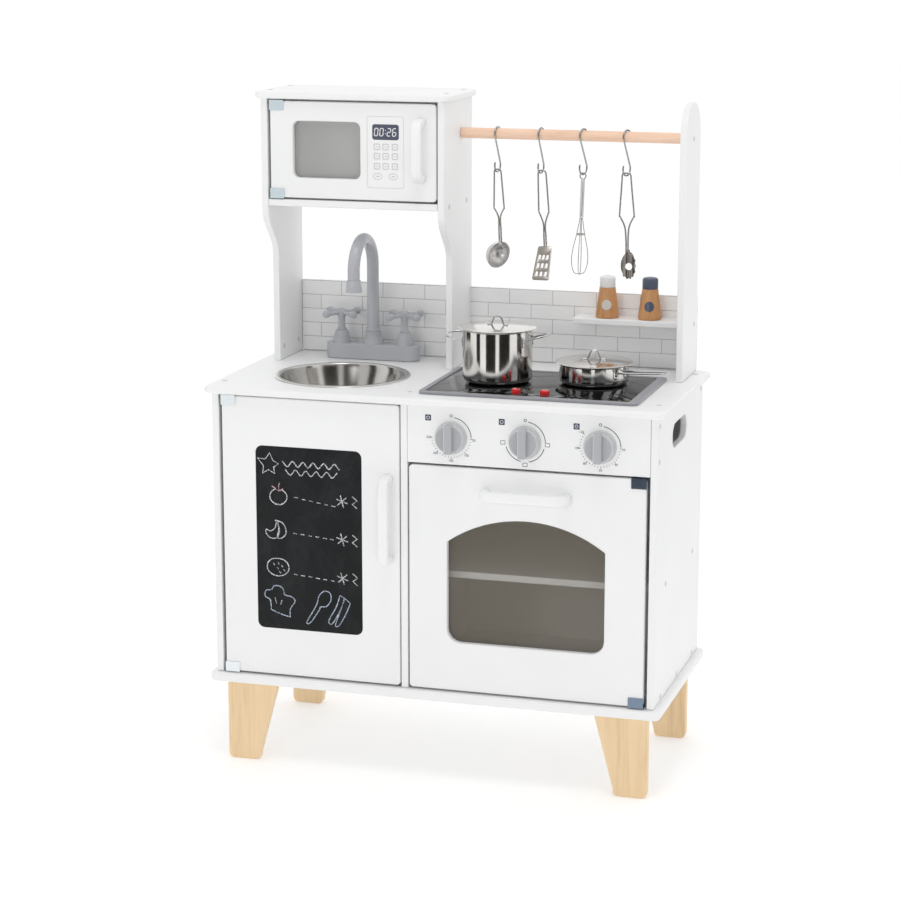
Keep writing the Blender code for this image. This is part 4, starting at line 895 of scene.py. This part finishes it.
def lid(name, body, centre, seat, turn):
    profile = [(0, 0.0036), (LID_R * 0.25, 0.0035), (LID_R * 0.45, 0.0031), (LID_R * 0.7, 0.0025),
               (LID_R * 0.84, 0.0018), (LID_R * 0.9, 0.0015), (LID_R - 0.0016, 0.0016), (LID_R - 0.0006, 0.0015),
               (LID_R, 0.001), (LID_R - 0.0006, 0.0005), (LID_R - 0.0016, 0.0003), (LID_R * 0.86, 0.0005),
               (LID_R * 0.45, 0.0018), (0, 0.0023)]
    shell = lathe(profile, 144, centre, seat)
    add(f"{name}_shell", shell, STEEL, body, [body], 50)
    # The wire arch: distance from the middle, and share of its height.
    half = [(0.0138, 0.0002), (0.011, 0), (0.0086, 0.0006), (0.0072, 0.25), (0.0058, 0.58), (0.0044, 0.84),
            (0.0024, 0.98)]
    path = [(*stood_by(centre, turn, u, 0), seat + 0.0041 + v * 0.011) for u, v in mirrored(half)]
    meshes = [tube(flowing(path, 5), WIRE_R, sides=6)]
    for side in (-1, 1):
        meshes.append(ball((*stood_by(centre, turn, side * 0.0112, 0), seat + 0.004), 0.0022, (1, 1, 0.55)))
    add(f"{name}_grip", meshes, CHROME, body, [body])


def bracket(centre, turn, z):
    """The small pressed plate that ties a wire handle to the pan's side."""
    out = Vector((math.cos(turn), math.sin(turn), 0))
    place = shift(centre[0], centre[1], z) @ Matrix.Translation(out * (POT_R + 0.0002)) @ facing(out)
    outline = round_rect(-0.0034, 0.0034, -0.0066, 0.0066, 0.0033, 6)
    pressed = plate([outline], -0.0004, 0.0006, "XY", 0.0003, 2)
    rivet = ball((0, 0, 0.0006), 0.0016, (1, 1, 0.5))
    return [moved(pressed, place), moved(rivet, place)]


def there_and_back(rough):
    """A loop's points, out to its tip on one side and back on the other."""
    return rough + [(u, -v) for u, v in rough[-2::-1]]


def side_loop(turn, spread, reach, z, rise, twist, centre):
    rough = [(POT_R - 0.003, -spread), (POT_R + reach * 0.3, -spread), (POT_R + reach * 0.55, -spread * 0.98),
             (POT_R + reach * 0.9, -spread * 0.62), (POT_R + reach, 0)]
    start, end = rough[0][0], POT_R + reach
    points = [(*stood_by(centre, turn, u, v), z + rise * (u - start) / (end - start) - twist * v / spread)
              for u, v in there_and_back(rough)]
    return tube(flowing(points, 6), WIRE_R, sides=6)


def cookware():
    add("pot_vessel", vessel(POT_TOP, POT), STEEL, "stock_pot", ["stock_pot"], 50)
    base = math.radians(-7.6)
    meshes = []
    for turn, root, rise, twist in ((base, 0.5605, 0.007, 0.0), (base + math.pi, 0.559, 0.001, 0.0022)):
        meshes.append(side_loop(turn, 0.015, 0.025, root, rise, twist, POT))
        for side in (-1, 1):
            meshes += bracket(POT, turn + side * math.asin(0.015 / POT_R), root - twist * side - 0.003)
    add("pot_handles", meshes, CHROME, "stock_pot", ["stock_pot"])
    lid("pot_lid", "stock_pot_lid", POT, POT_TOP + GAP, math.radians(-4))
    add("pan_vessel", vessel(PAN_TOP, PAN), STEEL, "frying_pan", ["frying_pan"], 50)
    turn = math.radians(-27.5)
    rough = [(POT_R - 0.0035, -0.0095), (0.06, -0.0094), (0.085, -0.009), (0.114, -0.0085), (0.1205, -0.005),
             (0.1225, 0.0)]
    path = [(*stood_by(PAN, turn, u, v), STAND + 0.0192 + 0.0095 * (u - POT_R) / 0.078)
            for u, v in there_and_back(rough)]
    meshes = [tube(flowing(path, 6), WIRE_R, sides=6)]
    for side in (-1, 1):
        meshes += bracket(PAN, turn + side * math.asin(0.0095 / POT_R), STAND + 0.0175)
    add("pan_handle", meshes, CHROME, "frying_pan", ["frying_pan"])
    lid("pan_lid", "frying_pan_lid", PAN, PAN_TOP + GAP, math.radians(10))


cookware()


# ---- Rail, hooks and tools --------------------------------------------------------------------------

RAIL_Y, RAIL_Z, RAIL_R = 0.096, 0.808, 0.007
HOOK_X, HOOK_TURN = (0.021, 0.0794, 0.1358, 0.1932), (0.16, 0.18, 0.33, 0.33)
HOOK_BEND, HOOK_DROP, HOOK_WIRE, TOOL_DROP = 0.0088, 0.041, 0.0011, 0.0032
TOOL_Z = RAIL_Z - HOOK_DROP - HOOK_BEND + TOOL_DROP


def rail():
    low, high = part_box("hanging_rail")
    length = high.x - low.x
    r = RAIL_R
    dowel = lathe([(0, length), (r - 0.0004, length), (r, length - 0.0004), (r, length * 0.66),
                   (r, length * 0.33), (r, 0.0004), (r - 0.0004, 0), (0, 0)], 64)
    along = shift(low.x, RAIL_Y, RAIL_Z) @ Matrix.Rotation(math.pi / 2, 4, "Y")
    add("rail_dowel", moved(dowel, along), BEECH, "kitchen", ["hanging_rail"], 30)


def hook(number, x, turn):
    flat = arc(0, 0, HOOK_BEND, -35, 195, 30) + arc(0, -HOOK_DROP, HOOK_BEND, 15, -205, 30)
    path = [(x + y * math.sin(turn), RAIL_Y + y * math.cos(turn), RAIL_Z + z) for y, z in flat]
    meshes = [tube(path, HOOK_WIRE, sides=6), ball(path[0], HOOK_WIRE), ball(path[-1], HOOK_WIRE)]
    # The hook wire takes the darkened chrome, a painted shade.
    add(f"s_hook_{number}", meshes, HOOK_CHROME_PAINTED_DARK, f"hook_{number}", [f"hook_{number}"], 60)


def loop_handle(top_half, wide_half, wide_z, neck_z, end_z, lean, open_neck=0.0014, aside=0.0):
    """A tool's wire loop, from its two ends up to the bend over the hook."""
    half = [(0.0014, end_z), (0.0014, (end_z + neck_z) / 2), (open_neck, neck_z),
            (wide_half * 0.985, wide_z - 0.002), (wide_half, wide_z), (top_half * 1.08, -0.012),
            (top_half, -0.004), (top_half * 0.86, -0.0012), (top_half * 0.6, 0.0)]
    return flowing([(u - lean * v + aside, 0, v) for u, v in mirrored(half)], 4)


def ladle(place):
    wire = tube(loop_handle(0.0046, 0.0068, -0.0485, -0.062, -0.0955, 0.045), HOOK_WIRE, sides=5)
    radius, depth = 0.0182, 0.016
    ball_r = (radius ** 2 + depth ** 2) / (2 * depth)
    reach = math.degrees(math.asin(radius / ball_r))
    outside = arc(0, ball_r - depth, ball_r, 270, 270 + reach, 20)
    inside = arc(0, ball_r - depth, ball_r - 0.001, 270 + reach, 270, 20)
    outside[0], inside[-1] = (0, outside[0][1]), (0, inside[-1][1])
    rim = [(outside[-1][0] + 0.0003, outside[-1][1] + 0.0003), (outside[-1][0], outside[-1][1] + 0.0006)]
    bowl = lathe(outside + rim + inside, 96)
    bowl.transform(shift(0.0016, 0.0015, -0.1122) @ facing(Vector((0.8, -0.54, -0.22)).normalized()))
    tab = soft_box((0.002, -0.0007, -0.0985), (0.0068, 0.0007, -0.0905), 0.0006, 2)
    return [moved(wire, place)], [moved(m, place) for m in (bowl, tab)], SATIN_STEEL


def turner(place):
    wire = tube(loop_handle(0.0052, 0.0067, -0.0515, -0.0685, -0.1015, 0.055, aside=0.0014), HOOK_WIRE, sides=5)
    top_half, foot_half, tall, thick, tilt = 0.0092, 0.0112, 0.048, 0.001, math.radians(-31)
    slots = []
    for row in range(3):
        for column in (-1, 0, 1):
            x, z = column * (0.0052 + row * 0.0004), -0.0155 - row * 0.0118
            slots.append(round_rect(x - 0.0015, x + 0.0015, z - 0.0035, z + 0.0035, 0.0014, 5))
    r = 0.0028
    edge = arc(-foot_half + r, -tall + r, r, 180, 270, 6) + arc(foot_half - r, -tall + r, r, 270, 360, 6)
    edge += arc(top_half - r, -r, r, 0, 90, 6) + arc(-top_half + r, -r, r, 90, 180, 6)
    blade = plate([edge] + slots, -thick / 2, thick / 2, "XZ", 0.0002, 1)
    blade.transform(shift(0.0066, 0, -0.0985) @ Matrix.Rotation(tilt, 4, "X"))
    return [moved(wire, place)], [moved(blade, place)], SMOKED_STEEL


def whisk(place):
    grip = mm([(0, -8.3), (2, -8.6), (2.7, -9.6), (2.7, -56), (2.5, -59), (1.4, -60.4), (0, -60.6)])
    meshes = [tube([(u, 0, v) for u, v in circle(0, -0.005, 0.004, 40)], 0.0008, True, 5), lathe(grip, 40)]
    bulb = mm([(1, -56), (4.8, -79), (9, -98), (10.6, -112), (9.2, -125), (5, -132)])
    outline = bulb + [(-u, v) for u, v in reversed(bulb)]
    for turn, drop in ((math.radians(20), 0.0), (math.radians(113), 0.0006)):
        path = flowing([(u * math.cos(turn), u * math.sin(turn), v - drop) for u, v in outline], 6)
        meshes.append(tube(path, 0.0005, sides=4))
    meshes.append(tube([(u, v, -0.0808) for u, v in circle(0, 0, 0.0054, 40)], 0.0009, True, 4))
    lean = Matrix.Identity(4)
    lean[0][2] = 0.03
    meshes = [moved(m, place @ lean) for m in meshes]
    return [meshes[0]] + meshes[2:], [meshes[1]], SATIN_STEEL


def pasta_server(place):
    wire = tube(loop_handle(0.0058, 0.0096, -0.053, -0.069, -0.1035, 0.022, 0.0029), HOOK_WIRE, sides=5)
    half, tall, middle, hole_r, count, rings, teeth = 0.0094, 0.0172, -0.1185, 0.0046, 112, 7, 14
    work = bmesh.new()
    layers = [[[] for _ in range(rings + 1)] for _ in range(2)]
    for layer, side in zip(layers, (-1, 1)):
        for k, row in enumerate(layer):
            for i in range(count):
                turn = math.tau * i / count
                toothed = math.sin(turn) < 0.45 and not 2.4 < turn < 3.9
                comb = 0.0016 * (0.5 + 0.5 * math.cos(turn * teeth)) if toothed else 0.0
                edge = Vector(((half + comb) * math.cos(turn), (tall + comb) * math.sin(turn)))
                hole = Vector((hole_r * math.cos(turn), -0.002 + hole_r * math.sin(turn)))
                spot = hole.lerp(edge, k / rings)
                row.append(work.verts.new((spot.x, side * 0.0005 - 0.0062 * (spot.x / half) ** 2, spot.y)))
    for layer in layers:
        for a, b in zip(layer, layer[1:]):
            skin(work, a, b)
    for k in (0, rings):
        skin(work, layers[0][k], layers[1][k])
    comb_mesh = as_mesh(work)
    comb_mesh.transform(shift(0.005, 0, middle))
    tab = soft_box((0.0008, -0.0007, -0.106), (0.0058, 0.0007, -0.0985), 0.0006, 2)
    return [moved(wire, place)], [moved(m, place) for m in (comb_mesh, tab)], SMOKED_STEEL


rail()
for number, (x, turn) in enumerate(zip(HOOK_X, HOOK_TURN), 1):
    hook(number, x, turn)
for name, maker, x in (("ladle", ladle, HOOK_X[0]), ("slotted_turner", turner, HOOK_X[1]),
                       ("whisk", whisk, HOOK_X[2]), ("pasta_server", pasta_server, HOOK_X[3])):
    wires, head, finish = maker(shift(x, RAIL_Y, TOOL_Z))
    add(f"{name}_wire", wires, TOOL_STEEL, name, [name], 40)
    add(f"{name}_head", head, finish, name, [name], 40)


# ---- Shakers ----------------------------------------------------------------------------------------

def shaker(name, x, cap_material, badge_material):
    y, foot = 0.121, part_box("salt_shaker")[0].z
    body = mm([(0, 0), (14.5, 0), (15.1, 0.6), (15.5, 2), (15.3, 4), (14, 15), (11.8, 30), (10.6, 39.2),
               (10.4, 39.8), (0, 39.8)])
    cap = mm([(0, 39.9), (10, 39.9), (10.4, 40.4), (10.4, 51), (10, 52.8), (9, 54), (7.2, 54.7), (4, 55),
              (0, 55)])
    add(f"{name}_body", lathe(body, 96, (x, y), foot), TURNED, name, [name], 40)
    add(f"{name}_cap", lathe(cap, 96, (x, y), foot), cap_material, name, [name], 40)
    # The holes are not cut: five flat dark discs on the cap's top are painted shade standing in for them.
    hole = mm([(0, 54.9), (0.6, 54.9), (0.6, 55.1), (0, 55.1)])
    holes = [lathe(hole, 16, (x + dx * 0.0028, y + dy * 0.0028), foot)
             for dx, dy in ((0, 0), (1, 0), (-1, 0), (0, 1), (0, -1))]
    add(f"{name}_holes", holes, INK, name, smooth=False)
    # A round badge follows the cone of the body.
    radius, centre_z, count, rings = 0.0066, 0.018, 40, 4
    work = bmesh.new()
    layers = [[[] for _ in range(rings + 1)] for _ in range(2)]
    for layer, lift in zip(layers, (0.0, 0.00018)):
        for ring, row in enumerate(layer):
            for i in range(count):
                turn = math.tau * i / count
                u, v = radius * ring / rings * math.cos(turn), centre_z + radius * ring / rings * math.sin(turn)
                r = 0.014 - (v - 0.015) * (0.0022 / 0.015) + lift
                angle = u / 0.0136 - math.pi / 2 + math.radians(8)
                row.append(work.verts.new((x + r * math.cos(angle), y + r * math.sin(angle), foot + v)))
    for layer in layers:
        for a, b in zip(layer[1:], layer[2:]):
            skin(work, a, b)
        for i in range(count):
            work.faces.new((layer[0][0], layer[1][(i + 1) % count], layer[1][i]))
    skin(work, layers[0][rings], layers[1][rings])
    bmesh.ops.remove_doubles(work, verts=work.verts, dist=1e-6)
    add(f"{name}_badge", as_mesh(work), badge_material, name, sharp=40)


shaker("salt_shaker", 0.1645, CAP_WHITE, BADGE_GREY)
shaker("pepper_shaker", 0.2215, CAP_BLUE, CAP_BLUE)


# ---- Microwave's printed panel ----------------------------------------------------------------------

def keypad():
    frame_line = round_rect(-0.132, -0.0825, 0.741, 0.833, 0.003, 5)
    key, oval_z = 0.0036, 0.756
    lines = [ribbon(frame_line, 0.0006, closed=True)]
    for z in (0.794, 0.782, 0.769):
        for x in (-0.1188, -0.107, -0.0945):
            lines.append(ribbon(round_rect(x - key, x + key, z - key, z + key, 0.001, 3), 0.0013, closed=True))
            lines.append(ribbon([(x - key / 2, z), (x + key / 2, z)], 0.001))
    for x in (-0.1177, -0.097):
        turns = [math.tau * i / 32 for i in range(32)]
        oval = [(x + 0.0058 * math.cos(t), oval_z + 0.004 * math.sin(t)) for t in turns]
        lines.append(ribbon(oval, 0.0009, closed=True))
        lines.append(ribbon([(x - 0.0024, oval_z), (x + 0.0024, oval_z)], 0.0016))
    front_print("keypad_print", lines, INK_PALE, "microwave_door", MICROWAVE_FRONT)
    shown = round_rect(-0.125, -0.089, 0.803, 0.823, 0.0032, 5)
    window = plate([shown], 0.0, PRINT * 1.5, "XY", 0.00004, 1)
    front_print("display_window", [window], DISPLAY, "microwave_door", MICROWAVE_FRONT)
    # Seven-segment figures: each segment's ends, in halves of a figure's height.
    segments = {"a": ((0, 2), (1, 2)), "b": ((1, 2), (1, 1)), "c": ((1, 1), (1, 0)), "d": ((0, 0), (1, 0)),
                "e": ((0, 0), (0, 1)), "f": ((0, 1), (0, 2)), "g": ((0, 1), (1, 1))}
    figures = {"0": "abcdef", "2": "abged", "6": "afgedc"}
    wide, tall, slant, start, base = 0.0044, 0.0048, 0.1, -0.1222, 0.8082
    heights = PRINT * 1.4, PRINT * 2.2
    bars = []
    for place, figure in zip((0, 0.0072, 0.0172, 0.0244), "0026"):
        for name in figures[figure]:
            ends = [Vector((start + place + u * wide + slant * v * tall, base + v * tall))
                    for u, v in segments[name]]
            along = (ends[1] - ends[0]).normalized() * 0.0004
            bars.append(ribbon([ends[0] + along, ends[1] - along], 0.0011, *heights))
    for z in (0.8112, 0.8152):
        bars.append(ribbon([(start + 0.0146, z), (start + 0.0156, z)], 0.001, *heights))
    front_print("display_figures", bars, INK_WHITE, "microwave_door", MICROWAVE_FRONT)


keypad()


# ---- Screw caps and catches -------------------------------------------------------------------------

def caps():
    """Flat plastic caps over the assembly screws, each a low dome a few tenths proud."""
    profile = mm([(0, -0.4), (3.4, -0.4), (3.5, 0.1), (3.1, 0.4), (1.8, 0.6), (0, 0.6)])
    up = Matrix.Identity(4)
    right, left = (Matrix.Rotation(sign * math.pi / 2, 4, "Y") for sign in (1, -1))
    back = Matrix.Rotation(-math.pi / 2, 4, "X")
    seats = [(up, x, y, WORKTOP) for x, y in ((-0.2875, -0.101), (0.283, -0.1), (0.2845, 0.116),
                                              (-0.2875, 0.116), (-0.036, -0.1055))]
    seats += [(up, x, y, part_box("tower_top")[1].z) for x in (-0.2738, -0.0328) for y in (0.045, 0.12)]
    panel = ((-0.13, 0.48), (-0.13, 0.435), (0.0, 0.1275), (-0.1, 0.1275), (0.1, 0.1275), (0.125, 0.48))
    shelf_screws = ((-0.08, 0.269), (0.09, 0.269))
    seats += [(right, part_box("side_panel_right")[1].x, y, z) for y, z in panel + shelf_screws]
    seats += [(left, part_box("side_panel_left")[0].x, y, z) for y, z in panel]
    for y in (0.0405, 0.12):
        seats.append((right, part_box("tower_panel_right")[1].x, y, 0.717))
        seats.append((left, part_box("tower_panel_left")[0].x, y, 0.717))
    seats += [(right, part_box("tower_panel_left")[1].x, y, 0.518) for y in (0.07, 0.125)]
    seats += [(right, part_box("rail_post")[1].x, y, z) for y, z in ((RAIL_Y, RAIL_Z), (0.1215, 0.5655))]
    for node, across, heights in (("cabinet_back", (-0.272, -0.155, -0.036, 0.12, 0.272), (0.129, 0.483)),
                                  ("backsplash", (-0.262, -0.15, -0.033, 0.12, 0.274), (0.51,)),
                                  ("microwave_back", (-0.262, -0.155, -0.045), (0.717,))):
        seats += [(back, x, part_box(node)[1].y - SHIFT, z) for x in across for z in heights]
    meshes = [moved(lathe(profile, 28), shift(x, y, z) @ turn) for turn, x, y, z in seats]
    add("screw_caps", meshes, SCREW_CAP, "kitchen")


def catches():
    """A steel disc behind each door's free corner, for the magnet in the frame."""
    disc = mm([(0, 0), (4.8, 0), (5, 0.2), (5, 1), (4.6, 1.3), (1.2, 1.3), (0.8, 0.9), (0, 0.9)])
    inward = Matrix.Rotation(-math.pi / 2, 4, "X")
    for door, x, z in (("cabinet", -0.048, 0.47), ("oven", -0.018, 0.403), ("microwave", -0.046, 0.842)):
        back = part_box(f"{door}_door")[1].y - SHIFT
        add(f"{door}_catch_disc", moved(lathe(disc, 40), shift(x, back, z) @ inward), MAGNET, f"{door}_door")


caps()
catches()


# ---- Stage, light and camera ------------------------------------------------------------------------

def stage():
    pale = new_material("studio_floor", (0.93, 0.93, 0.93), 0.9, Specular_IOR_Level=0.1,
                        Emission_Color=(1, 1, 1, 1), Emission_Strength=0.17)[0]
    bpy.ops.mesh.primitive_plane_add(size=60, location=(0, 0, 0))
    floor = bpy.context.object
    floor.name = "floor"
    floor.data.materials.append(pale)
    # Dark cards stand round the set, seen only in reflections, to draw the streaks on polished steel.
    shade = new_material("card_shade", (0.02, 0.018, 0.016), 0.9, Specular_IOR_Level=0.0)[0]
    radius, steps, foot, top = 1.45, 8, 0.02, 1.3
    for number, (start, end) in enumerate(((-74, -60), (-40, -8), (3, 38), (64, 82), (104, 128), (-128, -100))):
        work = bmesh.new()
        turns = [math.radians(AZIMUTH + start + (end - start) * i / steps) for i in range(steps + 1)]
        rows = [[work.verts.new((0.06 + radius * math.sin(t), -radius * math.cos(t), z)) for t in turns]
                for z in (foot, top)]
        skin(work, *rows, closed=False)
        mesh = as_mesh(work, "card")
        mesh.materials.append(shade)
        card = bpy.data.objects.new(f"card_{number}", mesh)
        scene.collection.objects.link(card)
        for ray in ("camera", "diffuse", "transmission", "volume_scatter", "shadow"):
            setattr(card, f"visible_{ray}", False)


def area_light(name, place, aim, size, power):
    data = bpy.data.lights.new(name, "AREA")
    data.shape = "RECTANGLE"
    data.size = data.size_y = size
    data.energy = power
    light = bpy.data.objects.new(name, data)
    light.location = place
    light.rotation_euler = (Vector(aim) - Vector(place)).to_track_quat("-Z", "Y").to_euler()
    scene.collection.objects.link(light)


AZIMUTH, ELEVATION, DISTANCE = 16.725, 12.336, 3.2508
AIM = Vector((-0.015, SHIFT, 0.4043))
SENSOR, FOCAL = 36.0, 99.74


def camera():
    data = bpy.data.cameras.new("camera")
    data.sensor_width = SENSOR
    data.lens = FOCAL
    data.clip_start, data.clip_end = 0.05, 100
    made = bpy.data.objects.new("camera", data)
    turn, rise = math.radians(AZIMUTH), math.radians(ELEVATION)
    back = Vector((math.sin(turn) * math.cos(rise), -math.cos(turn) * math.cos(rise), math.sin(rise)))
    made.location = AIM + back * DISTANCE
    made.rotation_euler = back.to_track_quat("Z", "Y").to_euler()
    scene.collection.objects.link(made)
    scene.camera = made


def light():
    world = bpy.data.worlds.new("studio")
    world.use_nodes = True
    tree = world.node_tree
    # Dimmer in front of the kitchen, bright at the sides, above and behind; white to the camera.
    direction = add_node(tree, "SeparateXYZ", {0: add_node(tree, "TexCoord").outputs["Generated"]})
    spread = add_node(tree, "MapRange", {"Value": direction.outputs["Y"], "From Min": -1.0, "From Max": 0.1,
                                         "To Min": 0.54, "To Max": 1.02})
    seen = add_node(tree, "LightPath").outputs["Is Camera Ray"]
    strength = add_node(tree, "Math", {0: spread.outputs[0], 1: seen}, operation="MAXIMUM").outputs[0]
    background = tree.nodes["Background"]
    background.inputs["Color"].default_value = (1.0, 1.0, 1.0, 1)
    tree.links.new(strength, background.inputs["Strength"])
    scene.world = world
    area_light("key", (-0.35, -2.6, 1.05), (0, 0, 0.5), 0.5, 6)
    area_light("top", (0.3, -0.9, 2.8), (0, 0, 0.55), 0.8, 8)
    view = scene.view_settings
    view.view_transform, view.look, view.exposure, view.gamma = "Standard", "None", 0.0, 1.0


stage()
light()
camera()
